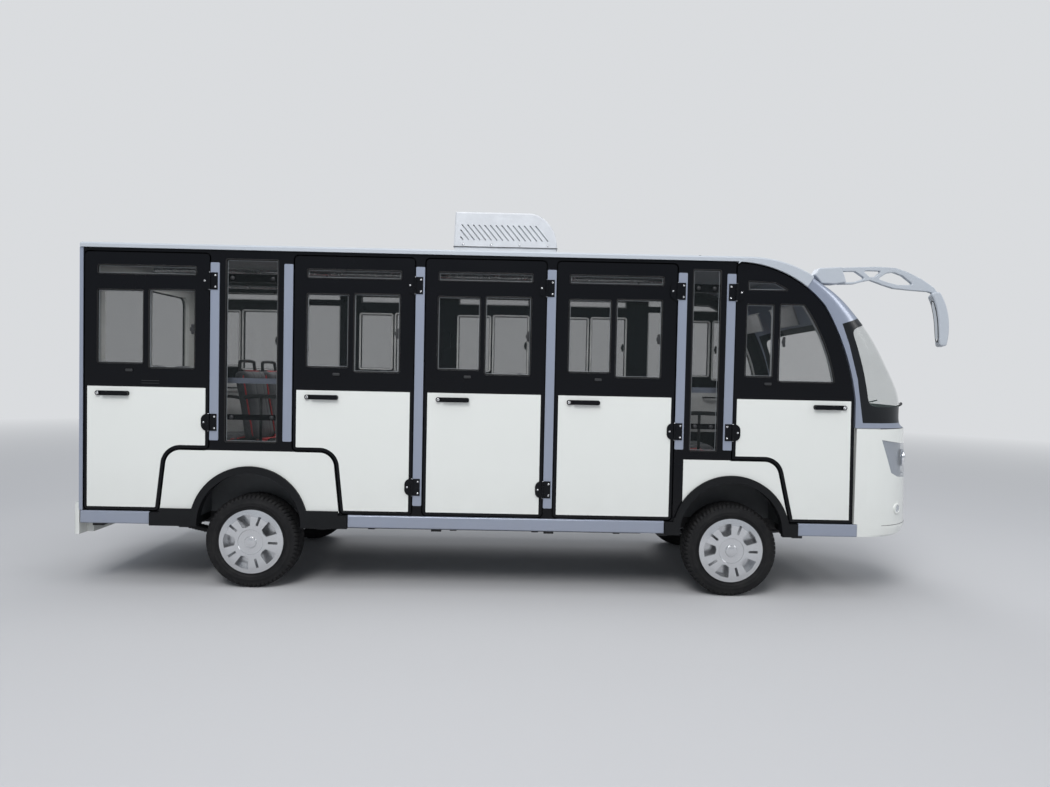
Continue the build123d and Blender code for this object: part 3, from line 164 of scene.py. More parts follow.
def lathe(name, profile, centre=(0, 0, 0), axis=(0, 0, 1), steps=48, closed=False):
    """Turned piece: profile of (radius, distance along the axis)."""
    axis = Vector(axis).normalized()
    across = axis.orthogonal().normalized()
    other = axis.cross(across)
    centre = Vector(centre)
    points, faces = [], []
    for i in range(steps):
        turn = 2 * pi * i / steps
        out = across * cos(turn) + other * sin(turn)
        points += [centre + out * r + axis * h for r, h in profile]
    n = len(profile)
    for i in range(steps):
        faces += band(i * n, (i + 1) % steps * n, n, n if closed else n - 1)
    if not closed:
        faces.append([i * n for i in range(steps)][::-1])
        faces.append([i * n + n - 1 for i in range(steps)])
    return mesh_piece(name, points, faces)


def plate(name, outline, y0, y1, rounding=0.0):
    """Side-view outline of (X, Z) points made solid between two Y planes."""
    n = len(outline)
    points = [(x, y0, z) for x, z in outline] + [(x, y1, z) for x, z in outline]
    faces = [list(range(n))[::-1], list(range(n, 2 * n))]
    piece = mesh_piece(name, points, faces + band(0, n, n), smooth=False)
    return rounded(piece, rounding) if rounding else piece


def round_rectangle(x0, x1, z0, z1, radius, steps=6):
    """Outline of a rectangle with rounded corners."""
    outline = []
    corners = [(x1 - radius, z1 - radius, 0), (x0 + radius, z1 - radius, 90), (x0 + radius, z0 + radius, 180),
               (x1 - radius, z0 + radius, 270)]
    for cx, cz, start in corners:
        for i in range(steps + 1):
            turn = radians(start + 90.0 * i / steps)
            outline.append((cx + radius * cos(turn), cz + radius * sin(turn)))
    return outline


def tube(name, path, radius, steps=10, closed=False):
    """Round bar along a path of points."""
    path = [Vector(p) for p in path]
    n = len(path)
    points, faces = [], []
    normal = None
    for i, point in enumerate(path):
        before = path[i - 1] if i or closed else path[0]
        after = path[(i + 1) % n] if i < n - 1 or closed else path[-1]
        along = (after - before).normalized()
        if normal is None:
            normal = along.orthogonal()
        normal = (normal - along * normal.dot(along)).normalized()
        other = along.cross(normal)
        size = radius[i] if isinstance(radius, (list, tuple)) else radius
        points += [point + (normal * cos(2 * pi * k / steps) + other * sin(2 * pi * k / steps)) * size
                   for k in range(steps)]
    for i in range(n if closed else n - 1):
        faces += band(i * steps, (i + 1) % n * steps, steps)
    if not closed:
        faces.append(list(range(steps))[::-1])
        faces.append([(n - 1) * steps + k for k in range(steps)])
    return mesh_piece(name, points, faces)


def smooth_path(points, steps=8):
    """Points along a smooth curve through the given ones."""
    points = [Vector(p) for p in points]
    path = []
    for i in range(len(points) - 1):
        p0, p1 = points[max(i - 1, 0)], points[i]
        p2, p3 = points[i + 1], points[min(i + 2, len(points) - 1)]
        for k in range(steps):
            t = k / steps
            path.append(0.5 * (2 * p1 + (p2 - p0) * t + (2 * p0 - 5 * p1 + 4 * p2 - p3) * t * t
                               + (3 * p1 - p0 - 3 * p2 + p3) * t ** 3))
    return path + [points[-1]]


def planes(side, near, far):
    """Both Y planes at two distances out on one side, lowest first."""
    return sorted((side * near, side * far))


def fit(piece, finish, body="body"):
    """Gives a finished piece its finish and its body."""
    piece.data.materials.clear()
    piece.data.materials.append(FINISH[finish])
    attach(piece, body)
    return piece


# Geometry node trees for what repeats or follows a path


def new_tree(name, inputs):
    """Empty geometry tree with a geometry input, the named inputs and a geometry output."""
    tree = bpy.data.node_groups.new(name, "GeometryNodeTree")
    tree.interface.new_socket("Geometry", in_out="INPUT", socket_type="NodeSocketGeometry")
    for label, kind in inputs:
        tree.interface.new_socket(label, in_out="INPUT", socket_type=kind)
    tree.interface.new_socket("Geometry", in_out="OUTPUT", socket_type="NodeSocketGeometry")
    return tree, tree.nodes.new("NodeGroupInput"), tree.nodes.new("NodeGroupOutput")


def end_tree(tree, start, end, geometry):
    """Ends a tree in Realize Instances and Set Material."""
    realize = tree.nodes.new("GeometryNodeRealizeInstances")
    paint = tree.nodes.new("GeometryNodeSetMaterial")
    tree.links.new(geometry, realize.inputs["Geometry"])
    tree.links.new(realize.outputs["Geometry"], paint.inputs["Geometry"])
    tree.links.new(start.outputs["Material"], paint.inputs["Material"])
    tree.links.new(paint.outputs["Geometry"], end.inputs["Geometry"])
    return tree


def repeat_tree():
    """Puts a pattern piece on every point, turned to the point's facing and along vectors."""
    tree, start, end = new_tree("Repeat on points", [
        ("Pattern", "NodeSocketObject"), ("Material", "NodeSocketMaterial")])
    pattern = tree.nodes.new("GeometryNodeObjectInfo")
    tree.links.new(start.outputs["Pattern"], pattern.inputs["Object"])
    turn = None
    for name, axis in (("facing", "Z"), ("along", "X")):
        direction = tree.nodes.new("GeometryNodeInputNamedAttribute")
        direction.data_type = "FLOAT_VECTOR"
        direction.inputs["Name"].default_value = name
        align = tree.nodes.new("FunctionNodeAlignRotationToVector")
        align.axis = axis
        align.pivot_axis = "AUTO" if turn is None else "Z"
        if turn is not None:
            tree.links.new(turn, align.inputs["Rotation"])
        tree.links.new(direction.outputs["Attribute"], align.inputs["Vector"])
        turn = align.outputs["Rotation"]
    place = tree.nodes.new("GeometryNodeInstanceOnPoints")
    tree.links.new(start.outputs["Geometry"], place.inputs["Points"])
    tree.links.new(pattern.outputs["Geometry"], place.inputs["Instance"])
    tree.links.new(turn, place.inputs["Rotation"])
    return end_tree(tree, start, end, place.outputs["Instances"])


def bead_tree():
    """Round bead, such as a seal or a pipe, along every chain of edges."""
    tree, start, end = new_tree("Bead along edges", [
        ("Radius", "NodeSocketFloat"), ("Sides", "NodeSocketInt"), ("Material", "NodeSocketMaterial")])
    curve = tree.nodes.new("GeometryNodeMeshToCurve")
    ring = tree.nodes.new("GeometryNodeCurvePrimitiveCircle")
    sweep = tree.nodes.new("GeometryNodeCurveToMesh")
    sweep.inputs["Fill Caps"].default_value = True
    tree.links.new(start.outputs["Geometry"], curve.inputs["Mesh"])
    tree.links.new(start.outputs["Sides"], ring.inputs["Resolution"])
    tree.links.new(start.outputs["Radius"], ring.inputs["Radius"])
    tree.links.new(curve.outputs["Curve"], sweep.inputs["Curve"])
    tree.links.new(ring.outputs["Curve"], sweep.inputs["Profile Curve"])
    return end_tree(tree, start, end, sweep.outputs["Mesh"])


def grown_piece(name, tree, mesh, **values):
    """Plain mesh piece that a tree grows from a mesh of points or edges."""
    piece = new_object(name, mesh)
    modifier = piece.modifiers.new("grow", "NODES")
    modifier.node_group = tree
    sockets = {item.name: item.identifier for item in tree.interface.items_tree
               if item.item_type == "SOCKET" and item.in_out == "INPUT"}
    for label, value in values.items():
        modifier[sockets[label]] = value
    piece = baked(piece)
    for polygon in piece.data.polygons:
        polygon.use_smooth = True
    return piece


def repeated(name, pattern, places, finish, body="body"):
    """Pattern piece on each place of (point, facing, along)."""
    mesh = bpy.data.meshes.new(name)
    mesh.from_pydata([tuple(place[0]) for place in places], [], [])
    for column, label in ((1, "facing"), (2, "along")):
        attribute = mesh.attributes.new(label, "FLOAT_VECTOR", "POINT")
        attribute.data.foreach_set("vector", [c for place in places for c in place[column]])
    piece = grown_piece(name, REPEAT, mesh, Pattern=pattern, Material=FINISH[finish])
    return fit(piece, finish, body)


def beads(name, paths, radius, finish, body="body", closed=True, sides=8):
    """Beads along paths of points."""
    points, edges = [], []
    for path in paths:
        first = len(points)
        points += [tuple(p) for p in path]
        edges += [(first + k, first + k + 1) for k in range(len(path) - 1)]
        if closed:
            edges.append((len(points) - 1, first))
    mesh = bpy.data.meshes.new(name)
    mesh.from_pydata(points, edges, [])
    piece = grown_piece(name, BEAD, mesh, Radius=radius, Sides=sides, Material=FINISH[finish])
    return fit(piece, finish, body)


REPEAT = repeat_tree()
BEAD = bead_tree()
FINISH = {}


# Finishes, read from Object coordinates


# The windscreen: its foot (x, z), how its lean grows with its rise, the line of
# its top edge (x, z, slope), and its printed border at the sides, foot and top
SCREEN_FOOT = (2.0605, 1.067)
SCREEN_LEAN = (0.0773, 0.2764)
SCREEN_TOP = (1.9195, 1.655, 0.322)
SCREEN_BORDER = (0.045, 0.098, 0.052)


class Finish:
    """Principled material with a few named ways to vary it."""

    def __init__(self, name, colour, roughness, metallic=0.0, **sockets):
        self.material = bpy.data.materials.new(name)
        self.material.use_nodes = True
        self.tree = self.material.node_tree
        self.shader = self.tree.nodes["Principled BSDF"]
        self.shader.inputs["Base Color"].default_value = (*colour, 1.0)
        self.shader.inputs["Roughness"].default_value = roughness
        self.shader.inputs["Metallic"].default_value = metallic
        for label, value in sockets.items():
            self.shader.inputs[label.replace("_", " ")].default_value = value
        self.colour = (*colour, 1.0)
        self.coords = self.tree.nodes.new("ShaderNodeTexCoord").outputs["Object"]
        self.material.diffuse_color = (*colour, 1.0)
        self.height = None

    def node(self, kind, inputs=(), **settings):
        """New node with its settings, its inputs linked or set."""
        node = self.tree.nodes.new(kind)
        for label, value in settings.items():
            setattr(node, label, value)
        for label, value in dict(inputs).items():
            if isinstance(value, bpy.types.NodeSocket):
                self.tree.links.new(value, node.inputs[label])
            else:
                node.inputs[label].default_value = value
        return node

    def noise(self, scale, detail=3.0, stretch=(1.0, 1.0, 1.0), rough=0.55):
        """Noise value, denser along the axes where stretch is large."""
        place = self.node("ShaderNodeMapping", {"Vector": self.coords, "Scale": stretch})
        return self.node("ShaderNodeTexNoise", {"Vector": place.outputs["Vector"], "Scale": scale, "Detail": detail,
                                                "Roughness": rough}).outputs["Fac"]

    def cells(self, scale, stretch=(1.0, 1.0, 1.0)):
        """Distance to the nearest of many scattered points."""
        place = self.node("ShaderNodeMapping", {"Vector": self.coords, "Scale": stretch})
        near = self.node("ShaderNodeTexVoronoi", {"Vector": place.outputs["Vector"], "Scale": scale})
        return near.outputs["Distance"]

    def ramp(self, value, low, high, start, end):
        """Value carried from low..high to start..end."""
        return self.node("ShaderNodeMapRange", {"Value": value, "From Min": low, "From Max": high, "To Min": start,
                                                "To Max": end}).outputs["Result"]

    def axis(self, letter):
        """One coordinate of the surface point."""
        return self.node("ShaderNodeSeparateXYZ", {"Vector": self.coords}).outputs[letter]

    def tint(self, factor, colour):
        """Turns the colour toward another one where the factor is large."""
        base = self.shader.inputs["Base Color"]
        mix = self.node("ShaderNodeMix", data_type="RGBA")
        if base.is_linked:
            self.tree.links.new(base.links[0].from_socket, mix.inputs["A"])
        else:
            mix.inputs["A"].default_value = self.colour
        self.tree.links.new(factor, mix.inputs["Factor"])
        mix.inputs["B"].default_value = (*colour, 1.0)
        self.tree.links.new(mix.outputs["Result"], base)
        return self

    def roughen(self, value):
        """Sets the roughness from a value."""
        self.tree.links.new(value, self.shader.inputs["Roughness"])
        return self

    def bump(self, height, strength, distance):
        """Adds a relief to the surface."""
        bump = self.node("ShaderNodeBump", {"Height": height, "Strength": strength, "Distance": distance})
        if self.height:
            self.tree.links.new(self.height, bump.inputs["Normal"])
        self.height = bump.outputs["Normal"]
        self.tree.links.new(self.height, self.shader.inputs["Normal"])
        return self


def painted(name, colour, roughness=0.28, flake=0.0, dust=0.12, coat=0.5, shine=0.5):
    """Sprayed paint: slight orange peel, faint cloudiness and road dust low down."""
    finish = Finish(name, colour, roughness, metallic=flake, Coat_Weight=coat, Coat_Roughness=0.08,
                    Specular_IOR_Level=shine)
    finish.bump(finish.noise(420.0, 2.0), 0.035, 0.0003)
    finish.tint(finish.ramp(finish.noise(1.6, 4.0), 0.35, 0.75, 0.0, 0.10), tuple(c * 0.88 for c in colour))
    grime = finish.node("ShaderNodeMath", {0: finish.ramp(finish.axis("Z"), 0.75, 0.36, 0.0, dust),
                                           1: finish.ramp(finish.noise(7.0, 6.0), 0.3, 0.7, 0.2, 1.0)},
                        operation="MULTIPLY").outputs["Value"]
    finish.tint(grime, (0.34, 0.31, 0.27))
    finish.roughen(finish.ramp(finish.noise(3.0, 2.0), 0.2, 0.8, roughness * 0.9, roughness * 1.12))
    return finish.material


def moulded(name, colour, roughness=0.5, grain=0.3, scale=900.0, shine=0.5):
    """Moulded plastic with a fine leather-like grain."""
    finish = Finish(name, colour, roughness, Specular_IOR_Level=shine)
    finish.bump(finish.cells(scale), grain, 0.0003)
    worn = tuple(min(1.0, c * 1.6 + 0.002) for c in colour)
    finish.tint(finish.ramp(finish.noise(12.0, 5.0), 0.45, 0.8, 0.0, 0.25), worn)
    finish.roughen(finish.ramp(finish.noise(25.0, 4.0), 0.3, 0.7, roughness * 0.85, min(1.0, roughness * 1.2)))
    return finish.material


def metal(name, colour, roughness, rust=0.0):
    """Cast, turned or plated metal with scattered marks."""
    finish = Finish(name, colour, roughness, metallic=1.0)
    finish.bump(finish.noise(160.0, 5.0), 0.12, 0.0006)
    finish.roughen(finish.ramp(finish.noise(30.0, 5.0), 0.3, 0.7, roughness * 0.75, min(1.0, roughness * 1.35)))
    if rust:
        finish.tint(finish.ramp(finish.noise(14.0, 6.0), 0.55, 0.75, 0.0, rust), (0.12, 0.06, 0.035))
    return finish.material


def pane(name, colour, alpha, roughness=0.02):
    """Tinted sheet glass with faint streaks of dust."""
    finish = Finish(name, colour, roughness, IOR=1.45, Specular_IOR_Level=0.6)
    finish.shader.inputs["Alpha"].default_value = alpha
    finish.bump(finish.noise(2.2, 2.0), 0.04, 0.002)
    finish.roughen(finish.ramp(finish.noise(9.0, 5.0, (1.0, 1.0, 0.25)), 0.4, 0.8, roughness, roughness + 0.06))
    return finish.material


def windscreen(name, colour, alpha, side_colour, side_alpha):
    """Clear windscreen in a printed black border; the other fixed panes are tinted like those of the doors."""
    finish = Finish(name, colour, 0.02, IOR=1.45, Specular_IOR_Level=0.42)
    x, z = finish.axis("X"), finish.axis("Z")

    def value(operation, *inputs):
        return finish.node("ShaderNodeMath", dict(enumerate(inputs)), operation=operation).outputs["Value"]

    rise = value("SUBTRACT", z, SCREEN_FOOT[1])
    lean = value("MULTIPLY", rise, value("ADD", value("MULTIPLY", rise, SCREEN_LEAN[1]), SCREEN_LEAN[0]))
    from_side = value("SUBTRACT", value("ADD", x, lean), SCREEN_FOOT[0] + SCREEN_BORDER[0])
    from_foot = value("SUBTRACT", rise, SCREEN_BORDER[1])
    top = value("MULTIPLY", value("SUBTRACT", x, SCREEN_TOP[0]), SCREEN_TOP[2])
    from_top = value("SUBTRACT", value("ADD", top, SCREEN_TOP[1] - SCREEN_BORDER[2]), z)
    inner = value("SMOOTH_MIN", value("SMOOTH_MIN", from_side, from_foot, 0.07), from_top, 0.07)
    printed = finish.ramp(inner, -0.0006, 0.0006, 1.0, 0.0)
    rear = finish.ramp(x, 1.86, 1.87, 1.0, 0.0)
    finish.tint(printed, (0.005, 0.006, 0.008))
    finish.roughen(finish.ramp(printed, 0.0, 1.0, 0.02, 0.34))
    finish.tint(rear, tuple(side_colour))
    cover = finish.node("ShaderNodeMix", {"Factor": printed, "A": alpha, "B": 1.0}).outputs["Result"]
    finish.node("ShaderNodeMix", {"Factor": rear, "A": cover, "B": side_alpha})
    finish.tree.links.new(finish.tree.nodes[-1].outputs["Result"], finish.shader.inputs["Alpha"])
    finish.bump(finish.noise(2.2, 2.0), 0.04, 0.002)
    return finish.material


def rubber(name, colour=(0.007, 0.007, 0.008), roughness=0.68, mould_lines=False):
    """Rubber with a dusty bloom; tyres also carry rings that follow their own radius."""
    finish = Finish(name, colour, roughness, Specular_IOR_Level=0.28)
    if mould_lines:
        ring = finish.node("ShaderNodeAttribute", attribute_name="radius").outputs["Fac"]
        turns = finish.node("ShaderNodeMath", {0: ring, 1: 2600.0}, operation="MULTIPLY").outputs["Value"]
        wave = finish.node("ShaderNodeMath", {0: turns}, operation="SINE")
        finish.bump(wave.outputs["Value"], 0.25, 0.0004)
    finish.bump(finish.noise(300.0, 4.0), 0.25, 0.0004)
    finish.tint(finish.ramp(finish.noise(18.0, 6.0), 0.42, 0.75, 0.0, 0.35), (0.030, 0.029, 0.027))
    return finish.material


def leather(name, colour, weave=260.0):
    """Sewn seat hide with pebbled grain and soft creases."""
    finish = Finish(name, colour, 0.48, Coat_Weight=0.12, Coat_Roughness=0.35, Sheen_Weight=0.08)
    finish.bump(finish.cells(weave), 0.35, 0.0009)
    finish.bump(finish.noise(9.0, 6.0), 0.3, 0.004)
    worn = tuple(min(1.0, c * 1.5 + 0.01) for c in colour)
    finish.tint(finish.ramp(finish.noise(6.0, 5.0), 0.4, 0.7, 0.0, 0.4), worn)
    return finish.material


def glow(name, colour, roughness=0.12):
    """Unlit lens of coloured plastic with moulded flutes."""
    finish = Finish(name, colour, roughness, Coat_Weight=0.6, Transmission_Weight=0.25)
    wave = finish.node("ShaderNodeTexWave", {"Vector": finish.coords, "Scale": 60.0}, bands_direction="Z")
    finish.bump(wave.outputs["Fac"], 0.35, 0.0008)
    return finish.material


def finishes(colours):
    """All the finishes of the shuttle, by the words that name them."""
    return {
        "white": painted("white_gelcoat", colours.body_white, 0.22),
        "black": painted("black_frame_paint", (0.0022, 0.0026, 0.0042), 0.26, dust=0.015, coat=0.03, shine=0.18),
        "silver": painted("silver_cladding_paint", colours.silver, 0.34, flake=0.35),
        "roof": painted("roof_edge_paint", (0.46, 0.495, 0.54), 0.5, flake=0.05, coat=0.05),
        "unit": moulded("air_unit_plastic", (0.58, 0.595, 0.62), 0.42, 0.08),
        "arch": moulded("arch_plastic", (0.0045, 0.005, 0.006), 0.5, 0.3, shine=0.25),
        "chassis": moulded("chassis_paint", (0.02, 0.02, 0.021), 0.6, 0.15, 220.0),
        "floor": moulded("floor_covering", (0.10, 0.105, 0.11), 0.6, 0.5, 140.0),
        "glass": pane("tinted_glass", colours.glass, colours.glass_depth),
        "screen": windscreen("screen_glass", (0.14, 0.19, 0.175), 0.12, colours.glass, colours.glass_depth),
        "mirror": metal("mirror_glass", (0.86, 0.88, 0.9), 0.02),
        "tyre": rubber("tyre_rubber", mould_lines=True),
        "seal": rubber("seal_rubber", (0.012, 0.012, 0.013), 0.5),
        "alloy": painted("wheel_cover_paint", (0.66, 0.67, 0.69), 0.24, flake=0.8, dust=0.12),
        "iron": metal("axle_iron", (0.07, 0.07, 0.075), 0.6, rust=0.35),
        "bright": metal("bright_steel", (0.72, 0.72, 0.73), 0.22),
        "chrome": metal("lamp_chrome", (0.88, 0.88, 0.9), 0.06),
        "lamp_back": Finish("lamp_housing_paint", (0.30, 0.32, 0.36), 0.3, metallic=0.6).material,
        "lens": Finish("projector_glass", (0.16, 0.19, 0.23), 0.03, Coat_Weight=1.0).material,
        "hide": leather("seat_hide", colours.seat),
        "trim": leather("seat_trim", (0.42, 0.015, 0.02)),
        "belt": leather("belt_webbing", (0.36, 0.014, 0.016), 900.0),
        "cable": moulded("cable_sheath", (0.60, 0.16, 0.02), 0.5, 0.1),
        "pale": moulded("dashboard_plastic", (0.50, 0.51, 0.51), 0.5, 0.2, 500.0),
        "dark": moulded("dark_plastic", (0.02, 0.021, 0.023), 0.42, 0.2),
        "lamp": pane("lamp_lens", (0.62, 0.66, 0.71), 0.28),
        "red": glow("red_lens", (0.50, 0.012, 0.012)),
        "amber": glow("amber_lens", (0.75, 0.22, 0.02)),
        "white_lens": glow("white_lens", (0.72, 0.73, 0.74)),
        "edge": moulded("pane_edge_grey", (0.22, 0.235, 0.25), 0.35, 0.05),
        "battery": moulded("battery_case_paint", (0.035, 0.037, 0.04), 0.5, 0.1, 300.0),
        "display": Finish("dark_display", (0.01, 0.012, 0.016), 0.08, Coat_Weight=1.0).material,
        "lining": moulded("ceiling_lining", (0.42, 0.43, 0.44), 0.7, 0.3, 300.0),
    }


# Finish of every CAD node that stays in view
NODE_FINISH = {
    "chassis_frame": "chassis", "floor_deck": "floor", "side_frames": "black", "silver_cladding": "silver",
    "roof_shell": "roof", "roof_air_unit": "unit", "fender_panels": "white", "wheel_arch_flares": "arch",
    "fixed_glass": "screen", "front_mask": "white", "windshield_surround": "silver", "lamps": "lamp",
    "rear_wall": "white", "mirror_arms": "roof", "seats": "hide", "dashboard": "pale", "battery_pack": "battery",
    "rear_axle": "iron", "front_axle": "iron", "knuckle_right": "iron", "knuckle_left": "iron",
    "steering_wheel": "dark",
}
NODE_FINISH |= {"door_" + door + "_" + part: finish for door in DOORS
                for part, finish in (("frame", "black"), ("skin", "white"), ("glass", "glass"))}
NODE_FINISH |= {part + "_" + corner: finish for corner in CORNERS
                for part, finish in (("tyre", "tyre"), ("wheel", "alloy"))}


class ShuttleColours(bpy.types.PropertyGroup):
    """Colours that a user would change."""
    body_white: FloatVectorProperty(
        name="Body white", description="Colour of door skins, fenders and mask", subtype="COLOR", size=3,
        min=0.0, max=1.0, default=(0.76, 0.775, 0.745))
    silver: FloatVectorProperty(
        name="Silver", description="Colour of pillar covers, sills and windscreen surround", subtype="COLOR",
        size=3, min=0.0, max=1.0, default=(0.30, 0.335, 0.42))
    glass: FloatVectorProperty(
        name="Glass tint", description="Tint of the side glass", subtype="COLOR", size=3,
        min=0.0, max=1.0, default=(0.010, 0.014, 0.014))
    glass_depth: FloatProperty(
        name="Glass depth", description="How much the side glass darkens what lies behind it", subtype="FACTOR",
        min=0.0, max=1.0, default=0.28)
    seat: FloatVectorProperty(
        name="Seat hide", description="Colour of the seats", subtype="COLOR", size=3,
        min=0.0, max=1.0, default=(0.06, 0.062, 0.068))


class SHUTTLE_OT_finishes(bpy.types.Operator):
    """Makes the finishes and gives every CAD node its own"""
    bl_idname = "shuttle.finishes"
    bl_label = "Finishes"

    def execute(self, context):
        FINISH.update(finishes(context.scene.shuttle_colours))
        for node, finish in NODE_FINISH.items():
            NODES[node].data.materials.clear()
            NODES[node].data.materials.append(FINISH[finish])
        return {"FINISHED"}


class ShuttleStage(bpy.types.PropertyGroup):
    """Camera, floor and light."""
    lens: FloatProperty(
        name="Lens", description="Focal length on a 36 mm wide sensor, in millimetres", min=8.0, max=200.0,
        default=24.795)
    eye: FloatVectorProperty(
        name="Eye", description="Place of the camera", subtype="TRANSLATION", unit="LENGTH", size=3,
        default=(0.0016, -5.036, 1.3202))
    yaw: FloatProperty(
        name="Yaw", description="Turn of the view toward the front", subtype="ANGLE", default=radians(0.587))
    pitch: FloatProperty(
        name="Pitch", description="Tilt of the view below level", subtype="ANGLE", default=radians(1.582))
    roll: FloatProperty(
        name="Roll", description="Turn of the camera about its view", subtype="ANGLE", default=radians(1.20))
    floor_size: FloatProperty(
        name="Floor size", description="Width of the floor", unit="LENGTH", default=160.0)


# Light panels: place, point that each faces, width in metres and power in watts
PANELS = (
    ("sky_panel", (0.0, -1.5, 8.5), (0.0, 0.0, 0.0), 8.0, 270.0),
    ("near_panel", (-1.5, -8.0, 8.5), (0.0, 0.0, 1.0), 5.0, 620.0),
    ("front_panel", (9.0, -3.0, 5.5), (1.0, 0.0, 1.0), 4.0, 160.0),
    ("far_panel", (0.0, 8.0, 7.0), (0.0, 0.0, 1.0), 5.0, 260.0),
)
# Colours of the light that the sky gives and of the sky as the camera sees it
SKY_LIGHT, SKY_SEEN = (0.80, 0.86, 0.94, 1.0), (0.70, 0.715, 0.735, 1.0)
# Distances from the middle between which the floor fades into the sky
FADE_START, FADE_END = 5.0, 17.0


class SHUTTLE_OT_stage(bpy.types.Operator):
    """Makes the camera, the pale floor, the soft lights and the world"""
    bl_idname = "shuttle.stage"
    bl_label = "Stage"

    def execute(self, context):
        values = context.scene.shuttle_stage
        scene = context.scene
        camera = bpy.data.cameras.new("photo_camera")
        camera.sensor_width = 36.0
        camera.lens = values.lens
        camera.clip_end = 300.0
        eye = new_object("photo_camera", camera)
        eye.matrix_world = (Matrix.Translation(values.eye) @ Matrix.Rotation(-values.yaw, 4, "Z")
                            @ Matrix.Rotation(pi / 2 - values.pitch, 4, "X") @ Matrix.Rotation(values.roll, 4, "Z"))
        scene.camera = eye
        half = values.floor_size / 2
        corners = [(-half, -half, 0), (half, -half, 0), (half, half, 0), (-half, half, 0)]
        floor = mesh_piece("floor", corners, [(0, 1, 2, 3)])
        ground = Finish("floor_paper", (0.50, 0.50, 0.51), 0.9, Specular_IOR_Level=0.2)
        away = ground.node("ShaderNodeVectorMath", {0: ground.coords}, operation="LENGTH").outputs["Value"]
        fade = ground.ramp(away, FADE_START, FADE_END, 0.0, 1.0)
        sky = ground.node("ShaderNodeEmission", {"Color": SKY_SEEN})
        blend = ground.node("ShaderNodeMixShader", {"Fac": fade})
        ground.tree.links.new(ground.shader.outputs["BSDF"], blend.inputs[1])
        ground.tree.links.new(sky.outputs["Emission"], blend.inputs[2])
        ground.tree.links.new(blend.outputs["Shader"], ground.tree.nodes["Material Output"].inputs["Surface"])
        floor.data.materials.append(ground.material)
        for name, place, aim, size, power in PANELS:
            light = bpy.data.lights.new(name, "AREA")
            light.shape = "DISK"
            light.size = size
            light.energy = power
            lamp = new_object(name, light)
            lamp.location = place
            lamp.rotation_euler = (Vector(aim) - Vector(place)).to_track_quat("-Z", "Y").to_euler()
            lamp.visible_glossy = name != "sky_panel"
        inside = bpy.data.lights.new("cabin_panel", "AREA")
        inside.shape = "RECTANGLE"
        inside.size, inside.size_y = 3.6, 0.5
        inside.energy = 34.0
        lamp = new_object("cabin_panel", inside)
        lamp.location = (-0.45, 0.0, 1.965)
        lamp.visible_camera = lamp.visible_glossy = False
        world = bpy.data.worlds.new("soft_sky")
        scene.world = world
        world.use_nodes = True
        nodes, links = world.node_tree.nodes, world.node_tree.links
        back = nodes["Background"]
        back.inputs["Color"].default_value = SKY_LIGHT
        back.inputs["Strength"].default_value = 0.50
        seen = nodes.new("ShaderNodeBackground")
        seen.inputs["Color"].default_value = SKY_SEEN
        seen.inputs["Strength"].default_value = 1.0
        paths = nodes.new("ShaderNodeLightPath")
        mix = nodes.new("ShaderNodeMixShader")
        either = nodes.new("ShaderNodeMath")
        either.operation = "MAXIMUM"
        links.new(paths.outputs["Is Camera Ray"], either.inputs[0])
        links.new(paths.outputs["Is Transmission Ray"], either.inputs[1])
        links.new(either.outputs["Value"], mix.inputs["Fac"])
        links.new(back.outputs["Background"], mix.inputs[1])
        links.new(seen.outputs["Background"], mix.inputs[2])
        links.new(mix.outputs["Shader"], nodes["World Output"].inputs["Surface"])
        scene.view_settings.view_transform = "Standard"
        return {"FINISHED"}


# What the CAD nodes show of themselves


def merged_copy(node):
    """Editable copy of a CAD node's mesh, with its doubles merged."""
    bm = bmesh.new()
    bm.from_mesh(NODES[node].data)
    bmesh.ops.remove_doubles(bm, verts=bm.verts, dist=2e-5)
    return bm


def islands(node):
    """Points of every separate solid in a CAD node, as arrays."""
    bm = merged_copy(node)
    bm.verts.ensure_lookup_table()
    seen, groups = set(), []
    for first in bm.verts:
        if first.index in seen:
            continue
        stack, group = [first], []
        seen.add(first.index)
        while stack:
            vert = stack.pop()
            group.append(tuple(vert.co))
            for edge in vert.link_edges:
                other = edge.other_vert(vert)
                if other.index not in seen:
                    seen.add(other.index)
                    stack.append(other)
        groups.append(np.array(group))
    bm.free()
    return groups


def hull_outline(points):
    """Convex outline of (X, Z) points, counterclockwise."""
    points = sorted(set((round(float(x), 5), round(float(z), 5)) for x, z in points))

    def half(sequence):
        chain = []
        for p in sequence:
            while len(chain) > 1 and ((chain[-1][0] - chain[-2][0]) * (p[1] - chain[-2][1])
                                      - (chain[-1][1] - chain[-2][1]) * (p[0] - chain[-2][0])) <= 1e-9:
                chain.pop()
            chain.append(p)
        return chain[:-1]

    return half(points) + half(points[::-1])


def inset(outline, amount):
    """Convex counterclockwise outline moved inward."""
    result = []
    n = len(outline)
    for i in range(n):
        a, b, c = Vector(outline[i - 1]), Vector(outline[i]), Vector(outline[(i + 1) % n])
        one, two = (b - a).normalized(), (c - b).normalized()
        normal = Vector((-one.y - two.y, one.x + two.x)).normalized()
        reach = amount / max(0.4, normal.dot(Vector((-one.y, one.x))))
        result.append(tuple(b + normal * reach))
    return result


def surface(node):
    """Tree of a CAD node's faces, for finding points on its skin."""
    bm = merged_copy(node)
    tree = BVHTree.FromBMesh(bm)
    bm.free()
    return tree


def point_on(tree, start, direction, lift=0.0):
    """Point where a ray first meets the skin, raised along the skin's normal, and that normal."""
    direction = Vector(direction).normalized()
    place, normal, _, _ = tree.ray_cast(Vector(start), direction)
    if normal.dot(direction) > 0:
        normal = -normal
    return place + normal * lift, normal


